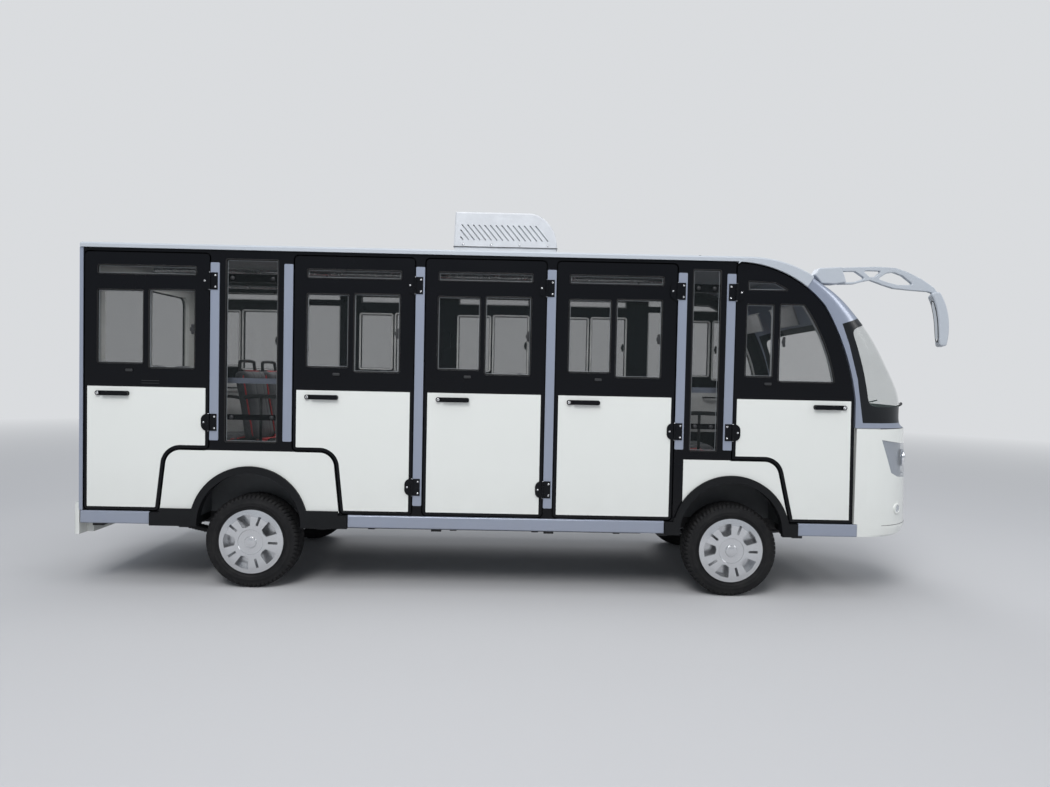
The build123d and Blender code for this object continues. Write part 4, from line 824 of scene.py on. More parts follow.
def trace(tree, starts, direction, lift=0.0):
    """Points where the rays from the starts first meet the skin, raised along its normal."""
    return [point_on(tree, start, direction, lift)[0] for start in starts]


def outline_at(points, y):
    """Points of an (X, Z) outline set on a Y plane."""
    return [(x, y, z) for x, z in points]


def span(values):
    """Smallest and largest of some values."""
    values = list(values)
    return min(values), max(values)


def tab(name, x, z, half_x, half_z, radius, y0, y1, rounding=0.0, steps=6):
    """Plate with rounded corners about a centre, between two Y planes."""
    outline = round_rectangle(x - half_x, x + half_x, z - half_z, z + half_z, radius, steps)
    return plate(name, outline, y0, y1, rounding)


def box_piece(name, low, high, rounding=0.0):
    """Flat-sided block between two corners, with rounded edges."""
    (x0, y0, z0), (x1, y1, z1) = low, high
    return plate(name, [(x0, z0), (x1, z0), (x1, z1), (x0, z1)], y0, y1, rounding)


def scaled(profile, radius):
    """Turned profile whose radii are shares of one radius."""
    return [(share * radius, height) for share, height in profile]


def round_square(steps, power):
    """(across, up) points of a square with soft corners that reaches from -1 to 1."""
    ring = []
    for k in range(steps):
        c, s = cos(2 * pi * k / steps), sin(2 * pi * k / steps)
        reach = (abs(c) ** power + abs(s) ** power) ** (-1 / power)
        ring.append((c * reach, s * reach))
    return ring


def screw_pattern(name, radius):
    """Domed screw head with a recess, standing along Z."""
    profile = [(0.30, 0.22), (0.36, 0.55), (0.75, 0.42), (1.0, 0.08), (1.0, -0.3)]
    return lathe(name, [(share * radius, height * radius) for share, height in profile], steps=14)


class ShuttleTyres(bpy.types.PropertyGroup):
    """Tyres and wheel fittings."""
    pitches: IntProperty(name="Tread pitches", description="Tread blocks round a tyre", min=20, max=120, default=64)
    groove: FloatProperty(
        name="Groove depth", description="Depth of the tread", unit="LENGTH", min=0.0, max=0.02, default=0.0075)
    sweep: FloatProperty(
        name="Sweep", description="How far the cross grooves run round the tyre from rib to shoulder",
        subtype="ANGLE", default=radians(2.6))


# Half section of a tyre: radius, distance from its middle plane, and which of
# RIB_CUTS says how deep the cross grooves cut there
TYRE_HALF = [
    (0.1783, 0.0615, 0), (0.1825, 0.0648, 0), (0.1880, 0.0655, 0), (0.1905, 0.0680, 0), (0.1935, 0.0684, 0),
    (0.1960, 0.0672, 0), (0.2040, 0.0715, 0), (0.2120, 0.0758, 0), (0.2136, 0.0774, 0), (0.2156, 0.0778, 0),
    (0.2170, 0.0770, 0), (0.2270, 0.0818, 0), (0.2360, 0.0820, 0), (0.2375, 0.0807, 0), (0.2480, 0.0790, 0),
    (0.2570, 0.0762, 0), (0.2600, 0.0765, 1), (0.2680, 0.0720, 1), (0.2750, 0.0640, 1), (0.2785, 0.0550, 1),
    (0.2792, 0.0440, 1), (0.2792, 0.0395, 1), (0.2725, 0.0380, 0), (0.2725, 0.0325, 0), (0.2796, 0.0310, 1),
    (0.2799, 0.0150, 1), (0.2725, 0.0135, 0), (0.2725, 0.0085, 0), (0.2800, 0.0070, 2), (0.2800, 0.0, 2),
]
# Shares of the groove depth: none, on a rib, on the middle rib
RIB_CUTS = (0.0, 0.85, 0.3)
# Where round one pitch the groove starts and ends, and how deep it is there
PITCH_STEPS = ((0.0, 0.0), (0.03, 1.0), (0.13, 1.0), (0.16, 0.0), (0.58, 0.0))
WHEEL_BOLTS, BOLT_CIRCLE, BOLT_START = 5, 0.054, 34.0
VALVE_TURN, VALVE_CIRCLE = 68.0, 0.160


def tyre(corner, values):
    """Tyre with sidewall rings, ribs and swept cross grooves, round one wheel."""
    centre = middle("tyre_" + corner)
    section = TYRE_HALF + [(r, -y, cut) for r, y, cut in reversed(TYRE_HALF[:-1])]
    turns = [((pitch + share) * 2 * pi / values.pitches, deep) for pitch in range(values.pitches)
             for share, deep in PITCH_STEPS]
    points, faces, radii = [], [], []
    n = len(section)
    for i, (turn, deep) in enumerate(turns):
        for r, y, cut in section:
            radius = r - values.groove * RIB_CUTS[cut] * deep
            at = turn + values.sweep * abs(y) / 0.05 + (pi / values.pitches if y < 0 else 0.0)
            points.append((centre.x + radius * cos(at), centre.y + y, centre.z + radius * sin(at)))
            radii.append(r)
        faces += band(i * n, (i + 1) % len(turns) * n, n)
    mesh = bpy.data.meshes.new("tread_" + corner)
    mesh.from_pydata(points, [], faces)
    mesh.attributes.new("radius", "FLOAT", "POINT").data.foreach_set("value", radii)
    piece = tidy(new_object(mesh.name, mesh), merge=1e-7)
    for polygon in piece.data.polygons:
        polygon.use_smooth = abs(polygon.normal.y) > 0.35
    fit(piece, "tyre", "wheel_" + corner)
    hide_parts("tyre_" + corner)


class SHUTTLE_OT_tyres(bpy.types.Operator):
    """Makes the tyres, and the cap, nuts and valve of every wheel"""
    bl_idname = "shuttle.tyres"
    bl_label = "Tyres"

    def execute(self, context):
        nut = lathe("wheel_nut", [(0.0, 0.013), (0.005, 0.0125), (0.0085, 0.010), (0.0095, 0.006),
                                  (0.0095, -0.004)], steps=6)
        for corner in CORNERS:
            tyre(corner, context.scene.shuttle_tyres)
            body, centre = "wheel_" + corner, middle("tyre_" + corner)
            out = Vector((0.0, -1.0 if corner.endswith("right") else 1.0, 0.0))
            cap = lathe("cap_" + corner, [(0.0, 0.0055), (0.022, 0.005), (0.0262, 0.0035), (0.0285, 0.0045),
                                          (0.0325, 0.0045), (0.0345, 0.0010), (0.0345, -0.0030)],
                        centre + out * 0.090, out)
            fit(cap, "alloy", body)
            rays = [ray_at(BOLT_START + 360.0 / WHEEL_BOLTS * k) for k in range(WHEEL_BOLTS)]
            places = [(centre + ray * BOLT_CIRCLE + out * 0.036, out, ray) for ray in rays]
            repeated("nuts_" + corner, nut, places, "bright", body)
            foot = centre + ray_at(VALVE_TURN) * VALVE_CIRCLE + out * 0.060
            valve = lathe("valve_" + corner, [(0.0, 0.024), (0.0032, 0.0235), (0.0034, 0.014), (0.0044, 0.0135),
                                              (0.0050, 0.0), (0.0060, -0.006)], foot, out, 16)
            fit(valve, "dark", body)
        bpy.data.objects.remove(nut)
        return {"FINISHED"}


class ShuttleSeats(bpy.types.PropertyGroup):
    """Padded seats and their belts."""
    grid: FloatProperty(
        name="Grid", description="Size of the faces that the padding is worked on", unit="LENGTH",
        min=0.004, max=0.03, default=0.0095)
    pressure: FloatProperty(
        name="Pressure", description="How hard the stuffing pushes on the hide", min=0.0, max=20.0, default=4.0)
    swell: FloatProperty(
        name="Swell", description="How far the stuffing may push a point of the hide", unit="LENGTH", default=0.010)
    seam: FloatProperty(name="Seam depth", description="Depth of the sewn channels", unit="LENGTH", default=0.006)
    belt_width: FloatProperty(name="Belt width", description="Width of a lap belt", unit="LENGTH", default=0.046)


CLOTH_FRAMES = 20
SEAM_WIDTH = 0.006
SEAT_BACK_LEAN, SEAT_BACK_HEIGHT = 0.070, 0.440
CUSHION_TILT = -0.035
# How much narrower the padding is than its seat, and how far its middle is crowned
SEAT_MARGIN, SEAT_CROWN = 0.030, 0.007


def padding(name, size, values, corner):
    """Closed padded form of about one size, and its points swollen by cloth simulation."""
    bpy.ops.mesh.primitive_cube_add(size=1.0)
    piece = bpy.context.object
    piece.name = name
    piece.data.transform(Matrix.Diagonal((*size, 1.0)))
    bevel = piece.modifiers.new("round", "BEVEL")
    bevel.width = corner
    bevel.segments = 5
    bevel.limit_method = "NONE"
    remesh = piece.modifiers.new("grid", "REMESH")
    remesh.mode = "VOXEL"
    remesh.voxel_size = values.grid
    baked(piece)
    start = np.array([v.co for v in piece.data.vertices])
    cloth = piece.modifiers.new("hide", "CLOTH")
    cloth.settings.quality = 5
    cloth.settings.mass = 0.3
    cloth.settings.use_pressure = True
    cloth.settings.uniform_pressure_force = values.pressure
    cloth.settings.effector_weights.gravity = 0.0
    cloth.point_cache.frame_start = 1
    cloth.point_cache.frame_end = CLOTH_FRAMES
    for number in range(1, CLOTH_FRAMES + 1):
        bpy.context.scene.frame_set(number)
    evaluated = piece.evaluated_get(bpy.context.evaluated_depsgraph_get())
    swollen = np.array([v.co for v in evaluated.data.vertices])
    piece.modifiers.clear()
    bpy.context.scene.frame_set(1)
    move = swollen - start
    length = np.linalg.norm(move, axis=1)
    start = start + move * np.minimum(1.0, values.swell / np.maximum(length, 1e-9))[:, None]
    return piece, start


def channels(points, along, across, lines, depth):
    """Pulls the hide in along sewn lines on the upper side of one axis."""
    for line in lines:
        near = np.exp(-((points[:, across] - line) / SEAM_WIDTH) ** 2)
        facing = np.clip(points[:, along] / (np.abs(points[:, along]).max() * 0.5), 0.0, 1.0)
        points[:, along] -= depth * near * facing
    return points


def rim(points, plane, level, reach, steps=72):
    """Outermost points round a padded form at one level, as a path."""
    u, v = [axis for axis in range(3) if axis != plane]
    near = points[np.abs(points[:, plane] - level) < reach]
    offset = near - (near.max(0) + near.min(0)) / 2
    path = []
    for k in range(steps):
        ray = np.zeros(3)
        ray[u], ray[v] = cos(2 * pi * k / steps), sin(2 * pi * k / steps)
        # far along the ray, less three times the distance aside of it
        aside = np.abs(offset[:, u] * ray[v] - offset[:, v] * ray[u])
        path.append(near[int(np.argmax(offset @ ray - aside * 3.0))])
    path = np.array(path)
    smooth = (np.roll(path, 1, 0) + 2 * path + np.roll(path, -1, 0)) / 4
    smooth[:, plane] = level
    return smooth


def seat_forms(width, values):
    """Cushion and backrest points and faces for one seat width, with their piping paths."""
    forms = {}
    half = (width - SEAT_MARGIN) / 2
    for kind, depth, height, corner, plane, along, cross in (
            ("cushion", 0.325, 0.076, 0.026, 2, 0, [0.0]), ("back", 0.066, 0.455, 0.024, 0, 2, [0.06, 0.16])):
        piece, points = padding(kind, (depth, width - SEAT_MARGIN, height), values, corner)
        faces = [tuple(p.vertices) for p in piece.data.polygons]
        path = rim(points, plane, 0.018, 0.012)
        points = channels(points, plane, 1, [-half * 0.36, half * 0.36], values.seam)
        points = channels(points, plane, along, cross, values.seam)
        crown = SEAT_CROWN * np.clip(1.0 - (points[:, 1] / half) ** 2, 0.0, 1.0)
        points[:, plane] += crown * (points[:, plane] > 0)
        forms[kind] = (points, faces, path)
        mesh = piece.data
        bpy.data.objects.remove(piece)
        bpy.data.meshes.remove(mesh)
    return forms


def placed(points, turn, place):
    """Points turned about Y and moved."""
    c, s = cos(turn), sin(turn)
    x, y, z = points[:, 0], points[:, 1], points[:, 2]
    return np.column_stack((place[0] + x * c + z * s, place[1] + y, place[2] - x * s + z * c))


def ribbon(name, path, width, thickness):
    """Flat strap along a path, its width along Y unless the path runs along Y."""
    path = [Vector(p) for p in path]
    points, faces = [], []
    for i, point in enumerate(path):
        ahead = (path[min(i + 1, len(path) - 1)] - path[max(i - 1, 0)]).normalized()
        side = Vector((1, 0, 0)) if abs(ahead.y) > 0.5 else Vector((0, 1, 0))
        up = ahead.cross(side).normalized()
        side = up.cross(ahead).normalized()
        points += [point + side * a * width / 2 + up * b * thickness / 2
                   for a, b in ((-1, -1), (1, -1), (1, 1), (-1, 1))]
        if i:
            faces += band(4 * i - 4, 4 * i, 4)
    faces += [(3, 2, 1, 0), tuple(4 * len(path) - 4 + k for k in range(4))]
    return mesh_piece(name, points, faces, smooth=False)


def lap_belt(x, y, half, top, width):
    """Both straps and the buckle of one seat's belt."""
    pieces = []
    for side, end_x, end_y in ((-1.0, 0.190, -0.03), (1.0, 0.186, 0.05)):
        path = [(x + 0.130, y + side * (half - 0.012), top - 0.05),
                (x + 0.140, y + side * (half - 0.020), top + 0.006),
                (x + 0.180, y + side * half * 0.45, top + 0.012), (x + end_x, y + end_y, top + 0.013)]
        pieces.append(ribbon("strap", smooth_path(path), width, 0.0016))
    pieces.append(tab("buckle", x + 0.185, top + 0.018, 0.030, 0.009, 0.008, y - 0.045, y + 0.052, 0.004))
    return pieces


class SHUTTLE_OT_seats(bpy.types.Operator):
    """Makes the padded cushions and backrests, their piping and the lap belts"""
    bl_idname = "shuttle.seats"
    bl_label = "Seats"

    def execute(self, context):
        values = context.scene.shuttle_seats
        lean = -atan2(SEAT_BACK_LEAN + 0.012, SEAT_BACK_HEIGHT + 0.040)
        forms, rows = {}, {}
        for points in islands("seats"):
            rows.setdefault(round(float(points[:, 0].min()), 3), []).append((points.min(0), points.max(0)))
        for row, x in enumerate(sorted(rows)):
            piping, belts = [], []
            for place, (low, high) in enumerate(sorted(rows[x], key=lambda box: box[0][1])):
                width = round(float(high[1] - low[1]), 3)
                if width not in forms:
                    forms[width] = seat_forms(width, values)
                back_x, seat_z = float(low[0]) + SEAT_BACK_LEAN, float(high[2]) - SEAT_BACK_HEIGHT
                y = float(low[1] + high[1]) / 2
                for kind, turn, spot in (("cushion", CUSHION_TILT, (back_x + 0.272, y, seat_z - 0.063)),
                                         ("back", lean, (back_x + 0.018, y, seat_z + 0.192))):
                    shape, faces, path = forms[width][kind]
                    mesh = bpy.data.meshes.new(f"{kind}_{row}_{place}")
                    mesh.from_pydata(placed(shape, turn, spot), [], faces)
                    piece = fit(tidy(new_object(mesh.name, mesh)), "hide")
                    if mesh.name == "cushion_0_0":
                        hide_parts("seats")
                    piping.append(placed(path, turn, spot))
                belts += lap_belt(back_x, y, width / 2, seat_z - 0.014, values.belt_width)
            beads(f"piping_{row}", piping, 0.0042, "trim", sides=6)
            fit(joined(f"lap_belts_{row}", belts), "belt")
        return {"FINISHED"}


class ShuttleDoors(bpy.types.PropertyGroup):
    """Seals, hinges, handles and inner cards of the doors."""
    lap: FloatProperty(
        name="Glass lap", description="How far a pane reaches behind its frame", unit="LENGTH", default=0.012)
    seal: FloatProperty(
        name="Seal radius", description="Radius of the rubber round the panes", unit="LENGTH", min=0.001, max=0.01,
        default=0.0034)
    upper: FloatProperty(name="Upper hinge", description="Height of the upper hinges", unit="LENGTH", default=1.825)
    screw: FloatProperty(
        name="Screw radius", description="Radius of the hinge screw heads", unit="LENGTH", default=0.0065)
    card: FloatProperty(
        name="Card thickness", description="Thickness of the panel inside a door", unit="LENGTH", default=0.004)


# Heights of the lower hinges, and where the wheel arches cut the doors
LOW_HINGES = {"1": 0.994, "2": 0.632, "3": 0.632, "4": 0.994, "5": 0.994}
ARCH_CUTS = {"1": -2.045, "2": -1.030, "5": 1.600}
ARCH_TOP = 0.885
# How far frames and panes lie behind the door skins, and where a door's inner face is
FRAME_DEPTH, PANE_DEPTH = 0.004, 0.016
INNER_Y = 0.7145
CATCH_Z, PULL_Z = 1.54, 1.16


def door_panes(door):
    """(X, Z) outline of each pane of a door, lowest edge last."""
    panes = [hull_outline(points[:, [0, 2]]) for points in islands(f"door_{door}_glass")]
    return sorted(panes, key=lambda pane: -min(z for _, z in pane))


def card_outline(door):
    """Lower panel inside a door, above the wheel arch where the door is cut there."""
    low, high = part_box(f"door_{door}_skin")
    rear, front, foot, top = low.x + 0.045, high.x - 0.045, low.z + 0.045, high.z + 0.010
    if door[1] not in ARCH_CUTS:
        return round_rectangle(rear, front, foot, top, 0.03)
    cut = ARCH_CUTS[door[1]]
    if door[1] == "1":
        return [(front, ARCH_TOP), (front, top), (rear, top), (rear, foot), (cut - 0.16, foot),
                (cut - 0.10, ARCH_TOP)]
    return [(rear, ARCH_TOP), (cut + 0.10, ARCH_TOP), (cut + 0.16, foot), (front, foot), (front, top),
            (rear, top)]


class SHUTTLE_OT_doors(bpy.types.Operator):
    """Makes the pane seals, hinge screws, key discs, latches and inner cards of every door"""
    bl_idname = "shuttle.doors"
    bl_label = "Doors"

    def glazing(self, door, side, openings, values):
        """Rubbers, pane edges and inner window frames."""
        body = f"door_{door}"
        seals = [outline_at(o, side * (SKIN_Y - FRAME_DEPTH - 0.0015)) for o in openings]
        beads(f"seals_{door}", seals, values.seal, "seal", body)
        edges = [outline_at(inset(o, 0.006), side * (SKIN_Y - PANE_DEPTH + 0.0012)) for o in openings]
        beads(f"pane_edges_{door}", edges, 0.0016, "edge", body, sides=6)
        inner = [outline_at(inset(o, -0.004), side * (INNER_Y - 0.001)) for o in openings[1:]]
        beads(f"inner_frames_{door}", inner, 0.0075, "pale", body, sides=6)

    def hinges(self, door, side, screw, values):
        """Screws and pins of both hinges."""
        body, hinge = f"door_{door}", JOINTS[f"door_{door}_hinge"]["pos_m"]
        toward = -1.0 if door[1] == "5" else 1.0
        out, face = Vector((0.0, side, 0.0)), side * (SKIN_Y + 0.006)
        moving, fixed, pins = [], [], []
        for height in (LOW_HINGES[door[1]], values.upper):
            moving.append((Vector((hinge[0] - toward * 0.029, face, height)), out, AHEAD))
            for end in (-1.0, 1.0):
                fixed.append((Vector((hinge[0] + toward * 0.034, face, height + end * 0.034)), out, AHEAD))
                pins.append(lathe("pin", [(0.0, 0.0030), (0.0035, 0.0026), (0.0056, 0.0008), (0.0056, -0.002)],
                                  (hinge[0], hinge[1], height + end * 0.050), (0, 0, end), 16))
        repeated(f"leaf_screws_{door}", screw, moving, "bright", body)
        repeated(f"post_screws_{door}", screw, fixed, "bright")
        fit(joined(f"hinge_pins_{door}", pins), "bright", body)

    def lock(self, door, side):
        """Key disc and key slot in the door's grip."""
        grip = min(islands(f"door_{door}_frame"), key=lambda points: np.ptp(points[:, 2]))
        low, high = grip.min(0), grip.max(0)
        x = float(high[0]) - 0.014 if door[1] == "5" else float(low[0]) + 0.014
        z = float(low[2] + high[2]) / 2
        disc = lathe(f"key_disc_{door}", [(0.0, 0.0012), (0.0022, 0.0012), (0.0028, 0.0026), (0.0080, 0.0022),
                                          (0.0095, 0.0006), (0.0095, -0.003)],
                     (x, side * (SKIN_Y + 0.013), z), (0, side, 0), 28)
        slot = tab(f"key_slot_{door}", x, z, 0.0011, 0.005, 0.001, side * (SKIN_Y + 0.0148),
                   side * (SKIN_Y + 0.0160), steps=3)
        fit(disc, "bright", f"door_{door}")
        fit(slot, "dark", f"door_{door}")

    def catches(self, door, side, openings):
        """Catch and pull of the sliding pane, the lug under the fixed one and the slot lips of the rear door."""
        frame_y, glass_y = side * (SKIN_Y - FRAME_DEPTH), side * (SKIN_Y - PANE_DEPTH)
        fixed_pane, sliding = openings[1], openings[2]
        left, right = span(x for x, _ in fixed_pane)
        start = min(x for x, _ in sliding)
        edge = start + 0.045 if door[1] == "5" else max(x for x, z in sliding if z > 1.45)
        foot = min(z for _, z in fixed_pane) - 0.042
        parts = [
            tab("latch", edge - 0.016, CATCH_Z, 0.008, 0.030, 0.006, glass_y + side * 0.0005,
                glass_y + side * 0.008, 0.0015),
            tab("pull", edge - 0.023, CATCH_Z, 0.007, 0.012, 0.004, glass_y + side * 0.007, glass_y + side * 0.0105,
                0.001),
            tab("lug", (left + right) / 2 + 0.055, foot, 0.021, 0.008, 0.005, frame_y - side * 0.001,
                frame_y + side * 0.0075, 0.002)]
        if door[1] == "1":
            parts += [tab("slot_lip", start + 0.0125, z, 0.0525, 0.0015, 0.001, frame_y - side * 0.0005,
                          frame_y + side * 0.0018, steps=2) for z in (1.2175, 1.2325)]
        fit(joined(f"pane_fittings_{door}", parts), "dark", f"door_{door}")

    def lining(self, door, side, values):
        """Card and pull bar inside the door."""
        face = side * (INNER_Y - values.card)
        card = plate(f"card_{door}", card_outline(door), side * INNER_Y, face, 0.0012)
        fit(card, "pale", f"door_{door}")
        low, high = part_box(f"door_{door}_skin")
        bend = [(0.17, 0.0), (0.174, 0.020), (0.20, 0.028)]
        path = [(float(low.x) + along, face - side * off, PULL_Z) for along, off in bend]
        path += [(float(high.x) - along, face - side * off, PULL_Z) for along, off in reversed(bend)]
        fit(tube(f"pull_bar_{door}", smooth_path(path), 0.0065, 12), "dark", f"door_{door}")

    def execute(self, context):
        values = context.scene.shuttle_doors
        screw = screw_pattern("hinge_screw", values.screw)
        for door in DOORS:
            side = SIDES[door[0]]
            openings = [inset(pane, values.lap) for pane in door_panes(door)]
            self.glazing(door, side, openings, values)
            self.hinges(door, side, screw, values)
            self.lock(door, side)
            self.catches(door, side, openings)
            self.lining(door, side, values)
        bpy.data.objects.remove(screw)
        return {"FINISHED"}


class ShuttleBody(bpy.types.PropertyGroup):
    """Seals, knobs, rear fittings and the roof unit's grilles."""
    knob: FloatProperty(
        name="Knob radius", description="Radius of the domed knobs on the narrow windows", unit="LENGTH",
        default=0.0125)
    seam: FloatProperty(
        name="Roof seam", description="Place of the seam across the roof", unit="LENGTH", default=1.0685)
    rivets: IntProperty(
        name="Base screws", description="Screws along each side of the roof unit", min=2, max=20, default=4)


KNOB_HEIGHTS = (1.026, 1.848)
UNIT_SCREW_Z, UNIT_JOINT_Z = 2.146, 2.132
# Height, half height and finish of the lenses in a tail lamp
TAIL_LENSES = ((1.055, 0.031, "red"), (0.985, 0.025, "amber"), (0.915, 0.025, "white_lens"))
BUMPER_SCREWS = ((0.66, 0.345), (0.66, 0.470), (0.30, 0.345), (0.30, 0.470), (0.18, 0.407))


def clusters(points, gap):
    """Groups of (X, Z) points that lie within a gap of one another."""
    groups = []
    for point in points:
        near = [group for group in groups if min(hypot(point[0] - q[0], point[1] - q[1]) for q in group) < gap]
        merged = [point]
        for group in near:
            merged += group
            groups.remove(group)
        groups.append(merged)
    return groups


class SHUTTLE_OT_body(bpy.types.Operator):
    """Makes the narrow windows' seals and knobs, the roof seam, the roof unit's grilles and the rear fittings"""
    bl_idname = "shuttle.body"
    bl_label = "Body trim"

    def narrow_windows(self, values):
        """Seals, pane edges and knobs of the narrow fixed windows."""
        dome = lathe("knob", scaled([(0.0, 0.0085), (0.45, 0.0078), (0.8, 0.0050), (1.0, 0.0016), (1.0, -0.001)],
                                    values.knob), steps=28)
        seals, edges, knobs = [], [], []
        for points in islands("fixed_glass"):
            if np.ptp(points[:, 1]) >= 0.01:
                continue
            side = 1.0 if points[0, 1] > 0 else -1.0
            opening = inset(hull_outline(points[:, [0, 2]]), 0.012)
            seals.append(outline_at(opening, side * (SKIN_Y - FRAME_DEPTH - 0.0015)))
            edges.append(outline_at(inset(opening, 0.007), side * (SKIN_Y - PANE_DEPTH + 0.0010)))
            rear, front = span(x for x, _ in opening)
            knobs += [(Vector((x, side * (SKIN_Y - PANE_DEPTH), height)), (0, side, 0), AHEAD)
                      for height in KNOB_HEIGHTS for x in (rear + 0.034, front - 0.034)]
        beads("narrow_window_seals", seals, 0.0045, "seal")
        beads("narrow_window_edges", edges, 0.0016, "edge", sides=6)
        repeated("window_knobs", dome, knobs, "dark")
        bpy.data.objects.remove(dome)

    def air_unit(self, screw, values):
        """Backs of the slots, base screws and joint of the roof unit."""
        low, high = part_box("roof_air_unit")
        shell = np.array([v.co for v in NODES["roof_air_unit"].data.vertices])
        grilles, screws = [], []
        for side in (-1.0, 1.0):
            floor_y = side * (high.y - 0.014)
            flat = shell[np.abs(shell[:, 1] - floor_y) < 0.0008][:, [0, 2]]
            for group in clusters([tuple(p) for p in np.unique(np.round(flat, 5), axis=0)], 0.020):
                outline = hull_outline(group)
                if len(outline) > 3 and np.ptp([x for x, _ in outline]) < 0.12:
                    grilles.append(plate("slot", inset(outline, 0.0001), floor_y, floor_y + side * 0.0095))
            for x in np.linspace(low.x + 0.06, high.x - 0.06, values.rivets):
                screws.append((Vector((x, side * high.y, UNIT_SCREW_Z)), (0, side, 0), AHEAD))
        fit(joined("air_unit_grilles", grilles), "dark")
        repeated("air_unit_screws", screw, screws, "bright")
        rear, front, wall = low.x - 0.001, high.x + 0.001, high.y + 0.001
        lip = [(x, y, UNIT_JOINT_Z) for x, y in ((rear, -wall), (front, -wall), (front, wall), (rear, wall))]
        beads("air_unit_joint", [lip], 0.0022, "seal", sides=6)

    def rear(self, screw):
        """Rear window seal, tail lamp lenses, reflectors and bumper screws."""
        rear_x, wall_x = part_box("rear_wall")[0].x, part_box("lamps")[0].x + 0.022
        window = max(islands("fixed_glass"), key=lambda points: -points[:, 0].min())
        (_, y0, z0), (_, y1, z1) = window.min(0), window.max(0)
        pane = round_rectangle(float(y0), float(y1), float(z0), float(z1), 0.060)
        beads("rear_window_seal", [[(wall_x - 0.002, y, z) for y, z in pane]], 0.006, "seal")
        marks = []
        for side, label in ((-1.0, "r"), (1.0, "l")):
            for z, half, finish in TAIL_LENSES:
                lens = box_piece(f"tail_lens_{finish}_{label}", (wall_x - 0.0265, side * 0.636 - 0.027, z - half),
                                 (wall_x - 0.0205, side * 0.636 + 0.027, z + half), 0.003)
                fit(lens, finish)
            marks.append(box_piece("reflector", (rear_x - 0.003, side * 0.56 - 0.045, 0.430),
                                   (rear_x + 0.0005, side * 0.56 + 0.045, 0.456), 0.0012))
        fit(joined("rear_reflectors", marks), "red")
        screws = [(Vector((rear_x - 0.0005, side * y, z)), BACK, UP)
                  for side in (-1.0, 1.0) for y, z in BUMPER_SCREWS]
        repeated("bumper_screws", screw, screws, "bright")

    def execute(self, context):
        values = context.scene.shuttle_body
        self.narrow_windows(values)
        seam = [(values.seam, y, 2.5) for y in np.linspace(-0.735, 0.735, 60)]
        beads("roof_seam", [trace(surface("roof_shell"), seam, (0, 0, -1), 0.0006)], 0.0022, "seal",
              closed=False, sides=6)
        screw = screw_pattern("unit_screw", 0.0075)
        self.air_unit(screw, values)
        self.rear(screw)
        bpy.data.objects.remove(screw)
        return {"FINISHED"}


def draped(name, tree, start, direction, lift, thickness, steps=(24, 10), bow=0.35):
    """Thin sheet laid on a skin: start gives the ray's origin for (u, v) in -1..1, bow rounds the corners."""
    nu, nv = steps
    upper, lower = [], []
    for j in range(nv + 1):
        for i in range(nu + 1):
            u, v = 2.0 * i / nu - 1.0, 2.0 * j / nv - 1.0
            origin = start(u * (1 - bow * v * v / 2) ** 0.5, v * (1 - bow * u * u / 2) ** 0.5)
            place, normal = point_on(tree, origin, direction)
            upper.append(place + normal * (lift + thickness))
            lower.append(place + normal * lift)
    n, total = nu + 1, len(upper)
    cells = [(j * n + i, j * n + i + 1, (j + 1) * n + i + 1, (j + 1) * n + i) for j in range(nv) for i in range(nu)]
    edge = [i for i in range(nu)] + [j * n + nu for j in range(nv)] + [nv * n + i for i in range(nu, 0, -1)]
    edge += [j * n for j in range(nv, 0, -1)]
    faces = cells + [tuple(total + k for k in cell[::-1]) for cell in cells]
    faces += [(a, b, total + b, total + a) for a, b in zip(edge, edge[1:] + edge[:1])]
    piece = mesh_piece(name, upper + lower, faces)
    for polygon in piece.data.polygons[len(cells) * 2:]:
        polygon.use_smooth = False
    return piece


class ShuttleNose(bpy.types.PropertyGroup):
    """Lamps, wipers, grille and mirrors."""
    bowl: FloatProperty(
        name="Reflector radius", description="Radius of the larger head lamp reflector", unit="LENGTH",
        default=0.050)
    fog_radius: FloatProperty(
        name="Fog lamp radius", description="Radius of a fog lamp's bezel", unit="LENGTH", default=0.032)
    slats: IntProperty(name="Grille slats", description="Slats in the lower grille", min=1, max=12, default=4)
    wiper_lift: FloatProperty(
        name="Wiper lift", description="Distance of a wiper blade's back from the glass", unit="LENGTH",
        default=0.016)


GRILLE_Z, MIRROR_Z, MIRROR_Y, MIRROR_HALF = 0.640, 1.686, 0.673, 0.060
CREASE_Z, COWL_Z, COWL_DROP = 0.452, 1.0395, 0.0055
# A point under the roof's front edge, and the angle of that edge seen from it
BROW_FOOT, BROW_EDGE = Vector((1.3655, 0.0, 1.304)), 59.15
# The way the brow faces, and the angles and depths where its fillet meets the roof
BROW_FACING, BROW_UNDER = Vector((0.5, 0.0, 0.866)), ((59.1, 0.0016), (61.5, 0.004), (64.0, 0.009))
# Each wiper's pivot, and the ends of its blade
WIPERS = ((0.34, 0.42, -0.12), (-0.22, -0.14, -0.62))
WIPER_FOOT, WIPER_RISE, WIPER_STEPS = 1.112, 0.075, 24


